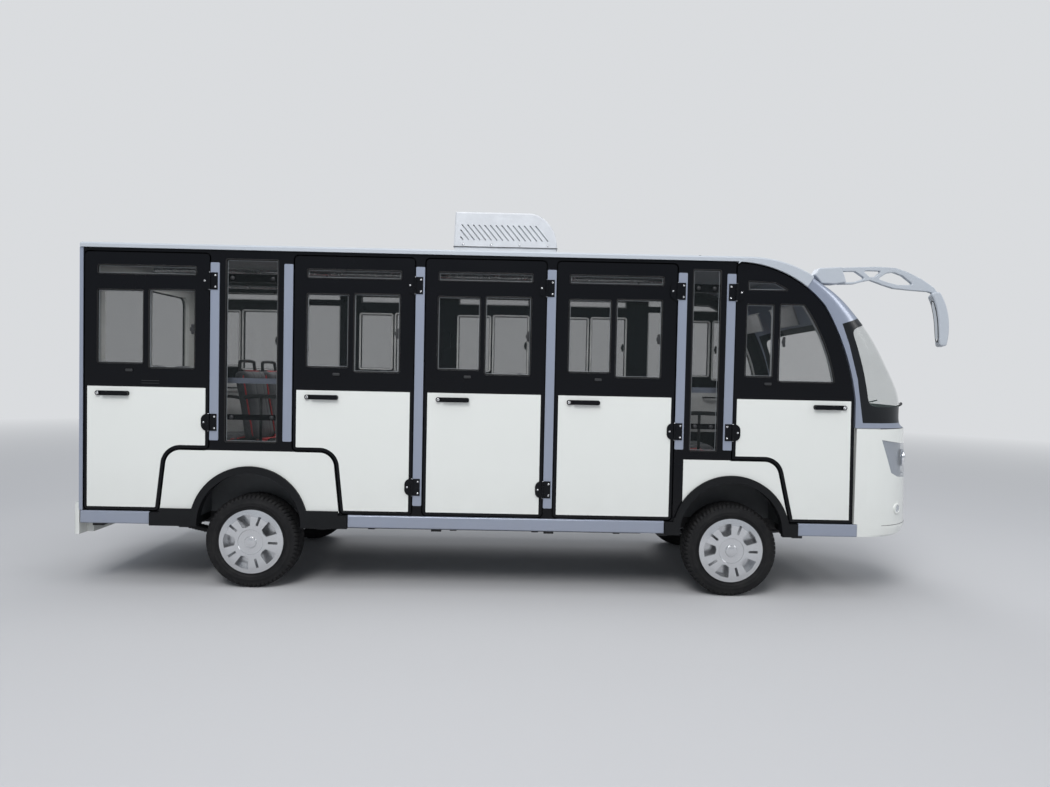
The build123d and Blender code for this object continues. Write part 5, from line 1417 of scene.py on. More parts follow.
class SHUTTLE_OT_nose(bpy.types.Operator):
    """Makes the head and fog lamps, the grille, the brow fillet, the wipers and the mirror glasses"""
    bl_idname = "shuttle.nose"
    bl_label = "Nose"

    def head_lamp(self, side, label, tip, values):
        """Housing, reflectors, projectors and running light behind one lens."""
        lamps = surface("lamps")
        # the housing has the lamp's own form, drawn back behind its lens
        shape = merged_copy("lamps")
        drop = [v for v in shape.verts if v.co.y * side < 0 or v.co.x < 0]
        bmesh.ops.delete(shape, geom=drop, context="VERTS")
        bmesh.ops.translate(shape, verts=shape.verts, vec=(-0.016, -side * 0.010, 0.0))
        mesh = bpy.data.meshes.new(f"lamp_housing_{label}")
        shape.to_mesh(mesh)
        shape.free()
        fit(tidy(new_object(mesh.name, mesh), smooth=False), "lamp_back")
        for number, (y, z, share) in enumerate(((0.600, 0.850, 1.0), (0.500, 0.842, 0.8))):
            radius = values.bowl * share
            facing = Vector((1.0, side * (0.35 - 0.25 * number), 0.0)).normalized()
            base = point_on(lamps, (tip, side * y, z), BACK)[0] - facing * 0.0125
            bowl = lathe(f"reflector_{label}_{number}", scaled([
                (0.0, -0.002), (0.45, 0.0), (0.8, 0.005), (1.0, 0.0100), (1.03, 0.0100), (1.03, -0.004)], radius),
                base, facing, 40)
            fit(bowl, "chrome")
            eye = lathe(f"projector_{label}_{number}", scaled([
                (0.0, 0.012), (0.22, 0.0105), (0.38, 0.0060), (0.44, 0.0010), (0.44, -0.001)], radius),
                base, facing, 32)
            fit(eye, "lens")
        starts = [(tip, side * y, 0.742 + 0.010 * k / 9) for k, y in enumerate(np.linspace(0.462, 0.600, 10))]
        beads(f"running_light_{label}", [trace(lamps, starts, BACK, -0.004)], 0.0045, "white_lens",
              closed=False)

    def fog_lamp(self, side, label, mask, tip, r):
        """Bezel, dish and lens of one fog lamp."""
        spot, normal = point_on(mask, (tip, side * 1.05, 0.548), (-1.0, -side * 0.62, 0.0))
        bezel = lathe(f"fog_bezel_{label}", scaled([
            (0.62, 0.001), (0.66, 0.0060), (0.80, 0.0075), (0.98, 0.0060), (1.14, 0.0015), (1.18, -0.006),
            (0.62, -0.006)], r), spot, normal, 48, closed=True)
        fit(bezel, "white")
        dish = lathe(f"fog_dish_{label}", scaled([(0.0, -0.001), (0.4, 0.0), (0.63, 0.0035), (0.63, -0.004)], r),
                     spot, normal, 40)
        fit(dish, "chrome")
        glass = lathe(f"fog_lens_{label}", scaled([
            (0.0, 0.0105), (0.35, 0.0095), (0.58, 0.0065), (0.645, 0.0045), (0.645, 0.0035)], r), spot, normal, 40)
        fit(glass, "lamp")

    def mirror(self, side, label, heads, back):
        """Glass and rim in the rear face of one mirror head."""
        y = side * MIRROR_Y
        glass = draped(f"mirror_glass_{label}", heads,
                       lambda u, v: (back, y + u * MIRROR_HALF, MIRROR_Z + v * 0.118), AHEAD, 0.0008, 0.0022,
                       (12, 18), 0.45)
        fit(glass, "mirror")
        starts = [(back, y + u * (MIRROR_HALF + 0.003), MIRROR_Z + v * 0.122) for u, v in round_square(64, 4)]
        beads(f"mirror_rim_{label}", [trace(heads, starts, AHEAD, 0.0010)], 0.0028, "dark", sides=6)

    def grille(self, mask, surround, tip, count):
        """Back, slats and rim of the grille, a thin dark line of painted shade along the mask's crease, and the
        seam of the cowl.
        """
        back = draped("grille_back", mask, lambda u, v: (tip, u * 0.30, GRILLE_Z + v * 0.048), BACK, 0.0006, 0.0020)
        fit(back, "dark")
        slats = []
        for k in range(count):
            z = GRILLE_Z + (k - (count - 1) / 2) * 0.080 / max(1, count - 1)
            slats.append(trace(mask, [(tip, y, z) for y in np.linspace(-0.272, 0.272, 30)], BACK, 0.005))
        beads("grille_slats", slats, 0.0045, "silver", closed=False)
        starts = [(tip, u * 0.300, GRILLE_Z + v * 0.050) for u, v in round_square(96, 6)]
        beads("grille_rim", [trace(mask, starts, BACK, 0.0020)], 0.0050, "silver")
        # painted shade: a thin black rubber bead along the mask's crease stands in for the shade in the fold; it is
        # no real seal
        starts = [(tip, y, CREASE_Z) for y in np.linspace(-0.742, 0.742, 90)]
        beads("mask_creases", [trace(mask, starts, BACK, 0.0002)], 0.0014, "seal", closed=False,
              sides=6)
        starts = [(tip, y, COWL_Z) for y in np.linspace(-0.744, 0.744, 120)]
        joint = [place - COWL_DROP * UP for place in trace(surround, starts, BACK)]
        beads("cowl_seam", [joint], 0.0028, "seal", closed=False, sides=6)

    def brow(self, surround, tip):
        """Fillet that carries the surround into the roof's front edge, and the seal along it."""
        roof = surface("roof_shell")

        def edge(y, up):
            return roof.ray_cast(BROW_FOOT + Vector((0, y, 0)) + up * 0.2, up)[0]

        points, columns = [], np.linspace(-0.60, 0.60, 61)
        for y in columns:
            start = [p + BROW_FACING * 0.0004 for p in trace(surround, [(tip, y, 1.912), (tip, y, 1.934)], BACK)]
            under = [edge(y, ray_at(turn)) - ray_at(turn) * drop for turn, drop in BROW_UNDER]
            line = smooth_path([*start, start[1].lerp(under[0], 0.5) + BROW_FACING * 0.001, *under], 3)
            points += line + [p - BROW_FACING * 0.005 for p in reversed(line)]
        ring, last = len(points) // len(columns), len(columns) - 1
        faces = [face for i in range(last) for face in band(i * ring, (i + 1) * ring, ring)]
        faces += [tuple(range(ring))[::-1], tuple(last * ring + k for k in range(ring))]
        fit(mesh_piece("brow_fillet", points, faces), "silver")
        lip = [edge(y, ray_at(BROW_EDGE)) + Vector((0.0012, 0.0, -0.0005)) for y in np.linspace(-0.70, 0.70, 90)]
        beads("brow_seal", [lip], 0.0036, "seal", closed=False)

    def wipers(self, surround, tip, lift):
        """Pivots, arms and blades of both wipers."""
        screen = surface("fixed_glass")
        blades, arms, pivots = [], [], []
        for pivot_y, inner_y, outer_y in WIPERS:
            base, normal = point_on(surround, (tip, pivot_y, 1.0535), BACK)
            pivots.append(lathe("pivot", [(0.0, 0.022), (0.008, 0.0215), (0.012, 0.017), (0.013, 0.006),
                                          (0.017, 0.001), (0.017, -0.004)], base, normal, 24))
            starts = [(tip, y, WIPER_FOOT + WIPER_RISE * k / (WIPER_STEPS - 1))
                      for k, y in enumerate(np.linspace(inner_y, outer_y, WIPER_STEPS))]
            blade, edge = trace(screen, starts, BACK, lift), trace(screen, starts, BACK, 0.005)
            blades += [tube("blade", blade, 0.0045, 8), tube("edge", edge, 0.0022, 6)]
            blades += [tube("yoke", [blade[k], edge[k]], 0.0028, 6) for k in (2, 8, 15, 21)]
            held = blade[WIPER_STEPS // 2]
            over = held + normal * 0.012
            path = [base + normal * 0.016, base + normal * 0.030 + UP * 0.02,
                    base.lerp(over, 0.6) + normal * 0.034, over, held]
            arms.append(tube("arm", smooth_path(path), [0.0075] * 8 + [0.0062] * 8 + [0.005] * 8 + [0.0042] * 9))
        fit(joined("wipers", blades + arms + pivots), "dark")

    def execute(self, context):
        values = context.scene.shuttle_nose
        mask, surround, heads = surface("front_mask"), surface("windshield_surround"), surface("mirror_arms")
        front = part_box("front_mask")[1].x
        tip = front + 0.4
        for side, label in ((-1.0, "right"), (1.0, "left")):
            self.head_lamp(side, label, tip, values)
            self.fog_lamp(side, label, mask, tip, values.fog_radius)
            self.mirror(side, label, heads, front - 0.25)
        self.grille(mask, surround, tip, values.slats)
        self.brow(surround, tip)
        self.wipers(surround, tip, values.wiper_lift)
        return {"FINISHED"}


class ShuttleCab(bpy.types.PropertyGroup):
    """Driver's instruments and controls."""
    cluster: FloatVectorProperty(
        name="Cluster size", description="Width and height of the instrument display", unit="LENGTH", size=2,
        default=(0.24, 0.080))
    switches: IntProperty(
        name="Switches", description="Rocker switches in the dashboard", min=1, max=12, default=6)


# Where rays toward the dashboard start
DASH_START = 1.2
VENT_RADIUS, VENT_PITCH = 0.028, 0.010


class SHUTTLE_OT_cab(bpy.types.Operator):
    """Makes the instruments, vents, switches, steering pad, stalks, pedals and sun visors"""
    bl_idname = "shuttle.cab"
    bl_label = "Cab"

    def instruments(self, y, width, height):
        """Hood, display and dial rings before the driver, and the display in the middle."""
        hood = plate("instrument_hood", [(1.858, 0.985), (1.872, 1.060), (1.900, 1.098), (1.990, 1.100),
                                         (2.030, 1.030), (2.000, 0.990)],
                     y - width / 2 - 0.022, y + width / 2 + 0.022, 0.012)
        fit(hood, "dark")
        foot, top = Vector((1.8555, y, 0.992)), Vector((1.8725, y, 1.070))
        up = (top - foot).normalized()
        face = Vector((-up.z, 0, up.x))
        points = [foot + up * h + face * depth + Vector((0, w, 0)) for depth in (0.0005, 0.003) for w, h in (
            (-width / 2, 0.004), (width / 2, 0.004), (width / 2, height), (-width / 2, height))]
        faces = [(0, 1, 2, 3), (7, 6, 5, 4), *band(0, 4, 4)]
        screen = mesh_piece("instrument_display", points, faces, smooth=False)
        fit(rounded(screen, 0.0010), "display")
        dial = [(0.027, 0.0005), (0.028, 0.0022), (0.031, 0.0022), (0.032, 0.0005)]
        spots = [foot + up * 0.044 + face * 0.003 + Vector((0, shift, 0)) for shift in (-0.072, 0.072)]
        rings = [lathe("dial", dial, spot, face, 40, closed=True) for spot in spots]
        fit(joined("instrument_rings", rings), "bright")
        tablet = box_piece("centre_tablet", (1.905, -0.115, 1.020), (1.922, 0.115, 1.165), 0.006)
        fit(tablet, "dark")
        glass = box_piece("tablet_display", (1.9035, -0.104, 1.032), (1.9055, 0.104, 1.156), 0.0008)
        fit(glass, "display")
        fit(tube("tablet_stem", [(1.915, 0, 1.030), (1.925, 0, 0.995)], 0.012), "dark")

    def dashboard(self, switches):
        """Vents with their fins, rocker switches and the drive selector."""
        dash = surface("dashboard")
        vents, fins = [], []
        for y in (-0.56, -0.20, 0.06, 0.57):
            place, normal = point_on(dash, (DASH_START, y, 0.905), AHEAD)
            vents.append(lathe("vent", [(VENT_RADIUS, 0.001), (0.029, 0.006), (0.034, 0.0075), (0.040, 0.005),
                                        (0.042, 0.0), (VENT_RADIUS, -0.002)], place, normal, 36, closed=True))
            for rise in (k * VENT_PITCH for k in range(-2, 3)):
                half = (VENT_RADIUS ** 2 - rise ** 2) ** 0.5
                fins.append([place + normal * 0.003 + Vector((0, w * half, rise)) for w in (-1, 1)])
        fit(joined("air_vents", vents), "dark")
        beads("vent_fins", fins, 0.0018, "dark", closed=False, sides=6)
        rocker = box_piece("rocker", (-0.009, -0.012, -0.002), (0.009, 0.012, 0.006), 0.003)
        places = [(*point_on(dash, (DASH_START, -0.13 + 0.034 * k, 0.815), AHEAD), UP) for k in range(switches)]
        repeated("rocker_switches", rocker, places, "dark")
        bpy.data.objects.remove(rocker)
        place, normal = point_on(dash, (DASH_START, 0.15, 0.865), AHEAD)
        fit(lathe("drive_selector", [(0.0, 0.028), (0.013, 0.027), (0.017, 0.022), (0.018, 0.006), (0.026, 0.004),
                                     (0.028, 0.0), (0.028, -0.003)], place, normal, 32), "bright")

    def steering(self, hub, axis):
        """Pad and ring that turn with the steering wheel, and the stalks on its column."""
        pad = lathe("steering_pad", [(0.0, 0.030), (0.025, 0.029), (0.045, 0.024), (0.055, 0.014), (0.057, 0.004),
                                     (0.050, -0.006), (0.035, -0.010)], hub, axis)
        fit(pad, "dark", "steering_wheel")
        ring = lathe("steering_pad_ring", [(0.0375, 0.0262), (0.0385, 0.0290), (0.0415, 0.0280), (0.0425, 0.0240)],
                     hub, axis, closed=True)
        fit(ring, "bright", "steering_wheel")
        root = hub - axis * 0.105
        stalks = []
        for side in (-1.0, 1.0):
            path = [root, root + Vector((0, side * 0.06, 0)) + axis * 0.010,
                    root + Vector((0, side * 0.125, 0.004)) + axis * 0.030]
            stalks.append(tube("stalk", smooth_path(path), [0.008] * 9 + [0.0065] * 7 + [0.009], 12))
        stalks.append(lathe("shroud", [(0.0, 0.03), (0.024, 0.028), (0.036, 0.016), (0.040, -0.05),
                                       (0.034, -0.075)], root, axis, 32))
        fit(joined("column_stalks", stalks), "dark")

    def execute(self, context):
        values = context.scene.shuttle_cab
        column = JOINTS["steering_wheel_turn"]
        hub, axis = Vector(column["pos_m"]), Vector(column["axis"]).normalized()
        self.instruments(hub.y, *values.cluster)
        self.dashboard(values.switches)
        self.steering(hub, axis)

        pedals = []
        for y, w in ((0.245, 0.045), (0.345, 0.060)):
            pedals.append(plate("pedal", [(1.845, 0.512), (1.853, 0.508), (1.880, 0.585), (1.872, 0.590)],
                                y - w / 2, y + w / 2, 0.003))
            arm = [(1.870, y, 0.555), (1.900, y, 0.600), (1.925, y, 0.680)]
            pedals.append(tube("arm", smooth_path(arm), 0.007))
            for k in range(4):
                rib = [(1.846 + 0.0055 * k, y + end * w * 0.4, 0.5235 + 0.0155 * k) for end in (-1, 1)]
                pedals.append(tube("rib", rib, 0.0022, 6))
        fit(joined("pedals", pedals), "dark")

        visors = []
        for y in (-0.33, 0.33):
            visors.append(plate("visor", [(1.700, 1.775), (1.712, 1.779), (1.755, 1.660), (1.743, 1.656)],
                                y - 0.20, y + 0.20, 0.005))
            visors.append(tube("rod", [(1.704, y - 0.23, 1.781), (1.704, y + 0.23, 1.781)], 0.005, 8))
        fit(joined("sun_visors", visors), "lining")
        return {"FINISHED"}


class ShuttleCabin(bpy.types.PropertyGroup):
    """Ceiling, rails, floor covering and steps."""
    lining_gap: FloatProperty(
        name="Lining gap", description="Distance of the lining from the roof's inner face", unit="LENGTH",
        default=0.006)
    rib_pitch: FloatProperty(
        name="Rib pitch", description="Distance between ribs of the aisle covering", unit="LENGTH", min=0.01,
        default=0.05)
    rail_radius: FloatProperty(
        name="Rail radius", description="Radius of the ceiling grab rails", unit="LENGTH", default=0.0125)


# Where rays toward the ceiling start, and the middle line of the grab rails
CEILING_START = 1.9
RAIL_Y, RAIL_Z = 0.44, 1.925
# Ribs of the floor covering: first and last place along the shuttle, and half length
FLOOR_RIBS = ((-0.62, -0.14, 0.26), (-0.30, 0.02, 0.60), (0.56, 0.90, 0.60))
NOSING_RISE, GROOVE_PITCH = 0.0040, 0.009


def patch(x0, x1, y0, y1):
    """Ray starts under the ceiling for (u, v) in -1..1 over a rectangle."""
    return lambda u, v: ((x0 + x1) / 2 + u * (x1 - x0) / 2, (y0 + y1) / 2 + v * (y1 - y0) / 2, CEILING_START)


class SHUTTLE_OT_cabin(bpy.types.Operator):
    """Makes the ceiling lining, lights, grab rails, seat handles, step edges and floor covering"""
    bl_idname = "shuttle.cabin"
    bl_label = "Cabin"

    def ceiling(self, roof, gap):
        """Lining, light strips and the vent of the roof unit."""
        lining = draped("ceiling_lining", roof, patch(-2.51, 1.15, -0.63, 0.63), UP, gap, 0.004, (40, 20), 0.0)
        fit(lining, "lining")
        lights = [draped("strip", roof, patch(-2.3, 1.0, y - 0.016, y + 0.016), UP, gap + 0.0045, 0.005,
                         (40, 2), 0.0) for y in (-0.30, 0.30)]
        fit(joined("ceiling_lights", lights), "white_lens")
        vent = draped("ceiling_vent", roof, patch(-0.38, 0.18, -0.22, 0.22), UP, gap + 0.0045, 0.010, (16, 12), 0.1)
        fit(vent, "pale")
        bars = [trace(roof, [(-0.34 + k * 0.0436, y, CEILING_START) for y in np.linspace(-0.17, 0.17, 8)], UP,
                      gap + 0.0148) for k in range(12)]
        beads("ceiling_vent_bars", bars, 0.0035, "dark", closed=False, sides=6)

    def grab_rails(self, roof, values):
        """Rails along the ceiling, and the posts that hang them from it."""
        rails, posts = [], []
        for y in (-RAIL_Y, RAIL_Y):
            rails.append([(x, y, RAIL_Z) for x in np.linspace(-2.30, 0.95, 12)])
            for x in (-2.25, -1.45, -0.60, 0.20, 0.90):
                top = point_on(roof, (x, y, RAIL_Z + 0.015), UP, values.lining_gap + 0.004)[0]
                posts.append(tube("post", [(x, y, RAIL_Z), top], 0.008, 12))
                posts.append(lathe("foot", [(0.0, 0.006), (0.020, 0.006), (0.024, 0.001), (0.024, -0.002)],
                                   top, (0, 0, -1), 24))
        beads("grab_rails", rails, values.rail_radius, "bright", closed=False, sides=14)
        fit(joined("grab_rail_posts", posts), "bright")

    def seat_rails(self):
        """Handles on the backrests and arm rests on the outer seats."""
        handles, arms = [], []
        for points in islands("seats"):
            low, high = points.min(0), points.max(0)
            y, half = float(low[1] + high[1]) / 2, float(high[1] - low[1]) / 2
            x, z = float(low[0]), float(high[2])
            if half < 0.22:
                bend = [(0.039, 0.07, -0.035), (0.035, 0.072, 0.010), (0.035, 0.10, 0.030)]
                path = [(x + along, y - half + across, z + rise) for along, across, rise in bend]
                path += [(x + along, y + half - across, z + rise) for along, across, rise in reversed(bend)]
                handles.append(tube("handle", smooth_path(path), 0.010, 12))
            if abs(y) > 0.1:
                edge = y + (1.0 if y > 0 else -1.0) * (half + 0.012)
                path = [(x + along, edge, z - drop)
                        for along, drop in ((0.10, 0.19), (0.20, 0.182), (0.36, 0.190), (0.395, 0.215))]
                arms.append(tube("arm", smooth_path(path), 0.013, 12))
                arms.append(tube("stay", [(x + 0.20, edge, z - 0.185), (x + 0.20, edge, z - 0.46)], 0.009))
        fit(joined("seat_handles", handles), "dark")
        fit(joined("arm_rests", arms), "dark")

    def floor(self, pitch):
        """Ribs of the covering and grooved metal edges at the doors."""
        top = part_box("chassis_frame")[1].z + 0.0122
        ribs = [[(x, -reach, top), (x, reach, top)] for rear, front, reach in FLOOR_RIBS
                for x in np.arange(rear, front, pitch)]
        beads("floor_ribs", ribs, 0.0022, "floor", closed=False, sides=6)
        nosings = []
        for door in DOORS:
            low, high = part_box(f"door_{door}_skin")
            x0, x1 = {"1": (low.x + 0.06, low.x + 0.36), "2": (high.x - 0.32, high.x - 0.04),
                      "5": (low.x + 0.44, high.x - 0.06)}.get(door[1], (low.x + 0.05, high.x - 0.05))
            y0, y1 = planes(SIDES[door[0]], 0.640, 0.684)
            nosings.append(box_piece("nosing", (x0, y0, top - 0.0002), (x1, y1, top + NOSING_RISE), 0.0012))
            for y in (y0 + 0.008 + k * GROOVE_PITCH for k in range(4)):
                path = [(x0 + 0.01, y, top + NOSING_RISE), (x1 - 0.01, y, top + NOSING_RISE)]
                nosings.append(tube("groove", path, 0.0012, 6))
        fit(joined("step_edges", nosings), "bright")

    def execute(self, context):
        values = context.scene.shuttle_cabin
        roof = surface("roof_shell")
        self.ceiling(roof, values.lining_gap)
        self.grab_rails(roof, values)
        self.seat_rails()
        self.floor(values.rib_pitch)
        return {"FINISHED"}


class ShuttleUnderbody(bpy.types.PropertyGroup):
    """Brakes, spring clamps, dampers, motor and battery fittings."""
    drum_radius: FloatProperty(
        name="Drum radius", description="Radius of the brake drums", unit="LENGTH", default=0.118)
    fins: IntProperty(name="Motor fins", description="Cooling fins round the motor", min=2, max=30, default=11)
    straps: IntProperty(
        name="Battery straps", description="Steel straps that carry the battery case", min=2, max=8, default=4)


# Middle plane of a spring, its eyes from the axle, and how far its U-bolts' legs stand from its middle
SPRING_Y, SPRING_EYE_Z, SPRING_EYE_X, BOLT_REACH = 0.370, 0.331, 0.449, 0.032
# Places and radii of the axle beams, places of the cross members, and the outer face of the chassis rails
AXLES = ((AXLE_REAR, 0.038), (AXLE_FRONT, 0.030))
CROSS_MEMBERS = (-2.5045, -1.9845, -1.1645, -0.4745, 0.2055, 0.8955, 1.7155)
RAIL_FACE = 0.3952
# Outline of the plates that hold the dampers' upper ends
HANGER = [(-2.085, 0.322), (-2.030, 0.322), (-1.995, 0.356), (-1.985, 0.4195), (-2.010, 0.4195), (-2.085, 0.372)]
LINE_Z = 0.372  # height of the brake line and the wiring tube


def ring_piece(name, inner, outer, half, centre, steps):
    """Tube round a Y axis, as wide as twice its half."""
    profile = [(inner, -half), (outer, -half), (outer, half), (inner, half)]
    return lathe(name, profile, centre, (0, 1, 0), steps, closed=True)


class SHUTTLE_OT_underbody(bpy.types.Operator):
    """Makes the brake drums, spring fittings, dampers, motor fins, cables, battery straps and chassis bolts"""
    bl_idname = "shuttle.underbody"
    bl_label = "Underbody"

    def drums(self, r):
        """Drum and backplate inside every wheel; the front ones turn with their knuckles."""
        for corner in CORNERS:
            front = corner.startswith("front")
            inner, outer = (0.6065, 0.6265) if front else (0.562, 0.626)
            drum = lathe(f"drum_{corner}", [
                (0.034, outer), (0.075, outer), (0.082, outer - 0.003), (r * 0.92, outer - 0.003),
                (r * 0.97, outer - 0.006), (r, inner + 0.010), (r, inner + 0.004), (r * 1.05, inner + 0.003),
                (r * 1.05, inner), (0.034, inner)], (AXLE_FRONT if front else AXLE_REAR, 0.0, TYRE_RADIUS),
                (0.0, -1.0 if corner.endswith("right") else 1.0, 0.0), 64, closed=True)
            fit(drum, "iron", f"knuckle_{corner[6:]}" if front else "body")

    def springs(self, axle, radius):
        """Clamps, clips and shackles of both springs of an axle."""
        pieces, nuts = [], []
        low = TYRE_RADIUS - radius
        for mid in (-SPRING_Y, SPRING_Y):
            for x in (axle - radius - 0.009, axle + radius + 0.009):
                bend = [(BOLT_REACH, low - 0.020), (BOLT_REACH, 0.327), (BOLT_REACH - 0.006, 0.3325)]
                path = [(x, mid - reach, z) for reach, z in bend]
                path += [(x, mid + reach, z) for reach, z in reversed(bend)]
                pieces.append(tube("bolt", path, 0.0052))
                nuts += [((x, mid + way * BOLT_REACH, low - 0.0085), (0, 0, -1), AHEAD) for way in (-1, 1)]
            pieces.append(box_piece("clamp", (axle - radius - 0.022, mid - 0.042, low - 0.008),
                                    (axle + radius + 0.022, mid + 0.042, low + 0.003), 0.002))
            for way in (-1.0, 1.0):
                eye = Vector((axle + way * SPRING_EYE_X, mid, SPRING_EYE_Z))
                pieces.append(ring_piece("eye", 0.006, 0.0125, 0.0262, eye, 24))
                for face in (-1.0, 1.0):
                    y0, y1 = sorted((mid + face * 0.0268, mid + face * 0.0318))
                    pieces.append(tab("shackle", eye.x, 0.3555, 0.019, 0.0425, 0.017, y0, y1, 0.0008))
                    nuts += [((eye.x, mid + face * 0.0318, z), (0, face, 0), AHEAD) for z in (SPRING_EYE_Z, 0.380)]
                for reach in (0.17, 0.31):
                    rise = 0.019 * (reach / 0.455) ** 2
                    clip = round_rectangle(mid - 0.0285, mid + 0.0285, 0.309 + rise, 0.3305 + rise, 0.003, 3)
                    path = [(axle + way * reach, y, z) for y, z in clip]
                    pieces.append(tube("clip", path, 0.0026, 6, closed=True))
        return pieces, nuts

    def clamps(self):
        """Spring fittings, their nuts and the bolts in the chassis rails."""
        nut = screw_pattern("hex_nut", 0.0085)
        pieces, nuts = [], []
        for axle, radius in AXLES:
            more, places = self.springs(axle, radius)
            pieces += more
            nuts += places
        fit(joined("spring_clamps", pieces), "iron")
        nuts += [((x + shift, side * RAIL_FACE, z), (0, side, 0), AHEAD) for x in CROSS_MEMBERS
                 for shift in (-0.018, 0.018) for side in (-1.0, 1.0) for z in (0.367, 0.400)]
        repeated("chassis_bolts", nut, nuts, "iron")
        bpy.data.objects.remove(nut)

    def dampers(self):
        """Rear dampers, their eyes and pins, and the plates that carry them."""
        dampers, eyes = [], []
        for side in (-1.0, 1.0):
            top, foot = Vector((-2.055, side * 0.520, 0.340)), Vector((AXLE_REAR - 0.052, side * 0.500, 0.236))
            way, length = (foot - top).normalized(), (foot - top).length
            dampers.append(lathe("damper", [
                (0.0, 0.012), (0.010, 0.012), (0.0105, length * 0.36), (0.0255, length * 0.365),
                (0.028, length * 0.385), (0.028, length - 0.030), (0.022, length - 0.018),
                (0.0, length - 0.016)], top, way, 32))
            folds = [(0.020 + 0.004 * (k % 2), 0.022 + length * 0.30 * k / 14) for k in range(15)]
            dampers.append(lathe("bellows", folds, top, way, 28))
            for place in (top, foot):
                eyes.append(ring_piece("eye", 0.008, 0.0165, 0.018, place, 28))
                eyes.append(tube("pin", [place + Vector((0, y, 0)) for y in (-0.026, 0.026)], 0.0078, 12))
            for near in (0.545, 0.489):
                eyes.append(plate("hanger", HANGER, *planes(side, near, near + 0.006), 0.001))
            eyes.append(tab("ear", AXLE_REAR - 0.042, 0.245, 0.032, 0.027, 0.016,
                            *planes(side, 0.474, 0.481), 0.001))
        fit(joined("rear_dampers", dampers), "arch")
        fit(joined("damper_mounts", eyes), "iron")

    def motor(self, count):
        """Fins and flanges of the motor and its drive, the terminal box and its leads."""
        motor = Vector((AXLE_REAR + 0.040, 0.060, 0.285))
        parts = [lathe("fin", [(0.082, x), (0.0905, x + 0.0005), (0.0905, x + 0.0045), (0.082, x + 0.005)],
                       motor, AHEAD, 56, closed=True) for x in np.linspace(0.075, 0.235, count)]
        parts.append(lathe("end", [(0.0, 0.312), (0.030, 0.312), (0.034, 0.305), (0.070, 0.304), (0.078, 0.300)],
                           motor, AHEAD, 56))
        parts.append(lathe("flange", [(0.082, 0.040), (0.098, 0.041), (0.098, 0.053), (0.082, 0.054)], motor,
                           AHEAD, 56, closed=True))
        fit(joined("motor_fins", parts), "bright")
        ring = lathe("drive_flange", [(0.098, -0.011), (0.114, -0.011), (0.116, -0.009), (0.116, 0.009),
                                      (0.114, 0.011), (0.098, 0.011)],
                     (AXLE_REAR, 0.0, TYRE_RADIUS), (0, 1, 0), 64, closed=True)
        fit(ring, "iron")
        box = box_piece("motor_terminals", (-1.470, 0.005, 0.352), (-1.330, 0.115, 0.398), 0.006)
        fit(box, "chassis")
        leads = []
        for y in (0.030, 0.060, 0.090):
            path = [(-1.332, y, 0.376), (-1.270, y, 0.377), (-1.190, y * 0.6, 0.372), (-1.120, y * 0.6, 0.345),
                    (-1.096, y * 0.6, 0.335)]
            leads.append(tube("lead", smooth_path(path), 0.0085, 12))
            leads.append(lathe("gland", [(0.009, 0.0), (0.014, 0.001), (0.014, 0.014), (0.011, 0.018),
                                         (0.009, 0.018)], (-1.331, y, 0.376), AHEAD, 20, closed=True))
        fit(joined("motor_leads", leads), "cable")

    def battery(self, count):
        """Straps, lid seam and floor ribs of the battery case."""
        low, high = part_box("battery_pack")
        bands = []
        for x in np.linspace(low.x + 0.16, high.x - 0.16, count):
            rear, front = x - 0.022, x + 0.022
            bands.append(box_piece("strap", (rear, low.y - 0.0045, low.z - 0.0045),
                                   (front, high.y + 0.0045, low.z - 0.0003), 0.001))
            for y0, y1 in ((low.y - 0.0045, low.y - 0.0003), (high.y + 0.0003, high.y + 0.0045)):
                bands.append(box_piece("side", (rear, y0, low.z - 0.004), (front, y1, high.z + 0.003), 0.001))
        fit(joined("battery_straps", bands), "iron")
        seam = [(x, y, high.z - 0.012)
                for x, y in ((low.x, low.y), (high.x, low.y), (high.x, high.y), (low.x, high.y))]
        beads("battery_lid_seam", [seam], 0.0028, "seal", sides=6)
        ribs = [[(x, low.y + 0.03, low.z - 0.0004), (x, high.y - 0.03, low.z - 0.0004)]
                for x in np.arange(low.x + 0.06, high.x - 0.05, 0.058)]
        beads("battery_floor_ribs", ribs, 0.0030, "battery", closed=False, sides=6)

    def lines(self):
        """Brake line and wiring tube along the chassis rails, with their clips."""
        pieces = []
        for y, r in ((-0.3405, 0.0042), (0.3405, 0.0075)):
            path = [(x, y, LINE_Z + rise) for x, rise in ((-1.95, 0.0), (-1.20, 0.0), (-0.40, 0.002), (0.60, 0.0),
                                                          (1.60, 0.002), (2.20, 0.004))]
            pieces.append(tube("line", smooth_path(path, 4), r, 8))
            for x in np.arange(-1.8, 2.1, 0.42):
                pieces.append(box_piece("clip", (x - 0.008, min(y - r - 0.0015, y * 1.0132), LINE_Z - r - 0.004),
                                        (x + 0.008, max(y + r + 0.0015, y * 1.0132), LINE_Z + r + 0.004), 0.001))
        fit(joined("chassis_lines", pieces), "dark")

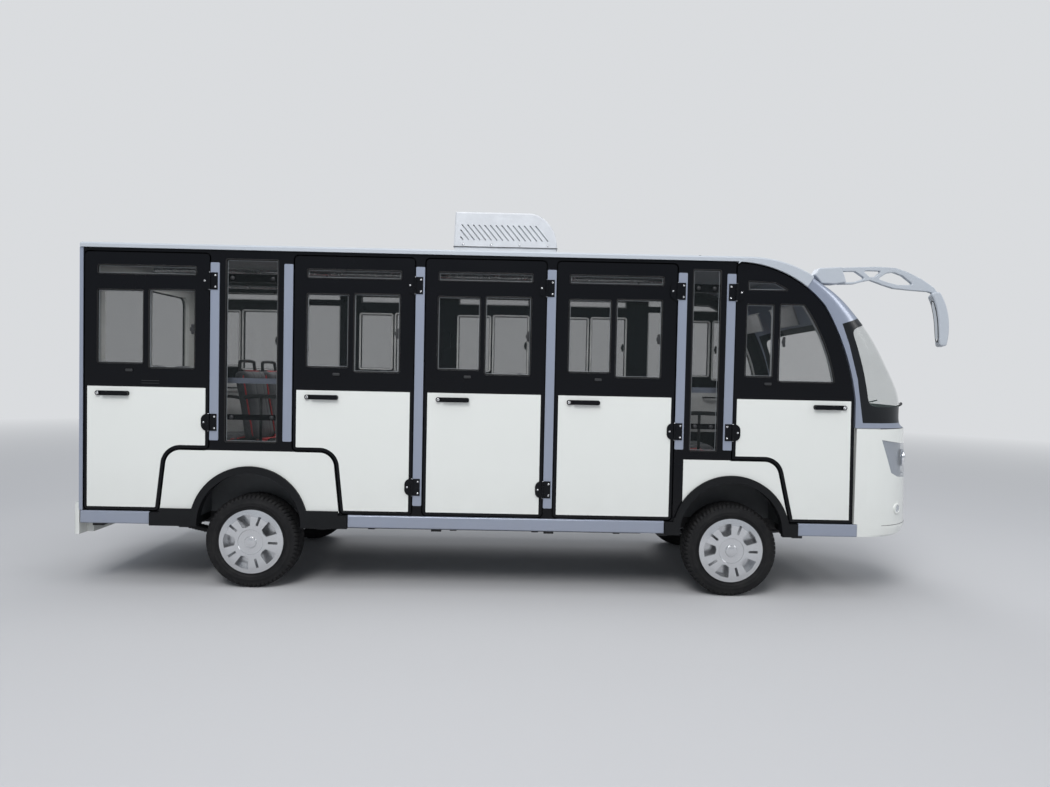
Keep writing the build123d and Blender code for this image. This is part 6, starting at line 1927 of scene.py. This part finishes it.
    def execute(self, context):
        values = context.scene.shuttle_underbody
        self.drums(values.drum_radius)
        self.clamps()
        self.dampers()
        self.motor(values.fins)
        self.battery(values.straps)
        self.lines()
        return {"FINISHED"}


GROUPS = {
    "shuttle_colours": ShuttleColours, "shuttle_stage": ShuttleStage, "shuttle_tyres": ShuttleTyres,
    "shuttle_seats": ShuttleSeats, "shuttle_doors": ShuttleDoors, "shuttle_body": ShuttleBody,
    "shuttle_nose": ShuttleNose, "shuttle_cab": ShuttleCab, "shuttle_cabin": ShuttleCabin,
    "shuttle_underbody": ShuttleUnderbody,
}
OPERATORS = [
    SHUTTLE_OT_finishes, SHUTTLE_OT_tyres, SHUTTLE_OT_seats, SHUTTLE_OT_doors, SHUTTLE_OT_body, SHUTTLE_OT_nose,
    SHUTTLE_OT_cab, SHUTTLE_OT_cabin, SHUTTLE_OT_underbody, SHUTTLE_OT_stage]


class SHUTTLE_PT_panel(bpy.types.Panel):
    """Lists the pieces in the order in which they are made"""
    bl_label = "Shuttle"
    bl_idname = "SHUTTLE_PT_panel"
    bl_space_type = "VIEW_3D"
    bl_region_type = "UI"
    bl_category = "Shuttle"

    def draw(self, context):
        for name, group in GROUPS.items():
            box = self.layout.box()
            box.label(text=group.bl_rna.name)
            for label in group.__annotations__:
                box.prop(getattr(context.scene, name), label)
        for operator in OPERATORS:
            self.layout.operator(operator.bl_idname)


def register():
    """Registers the classes and gives the scene their values."""
    for group in GROUPS.values():
        bpy.utils.register_class(group)
    for name, group in GROUPS.items():
        setattr(bpy.types.Scene, name, bpy.props.PointerProperty(type=group))
    for operator in OPERATORS:
        bpy.utils.register_class(operator)
    bpy.utils.register_class(SHUTTLE_PT_panel)


def unregister():
    """Takes back what register did."""
    bpy.utils.unregister_class(SHUTTLE_PT_panel)
    for operator in reversed(OPERATORS):
        bpy.utils.unregister_class(operator)
    for name, group in GROUPS.items():
        delattr(bpy.types.Scene, name)
        bpy.utils.unregister_class(group)


def main():
    """Makes every piece in order."""
    register()
    for operator in OPERATORS:
        group, name = operator.bl_idname.split(".")
        getattr(getattr(bpy.ops, group), name)()


if __name__ == "__main__":
    main()
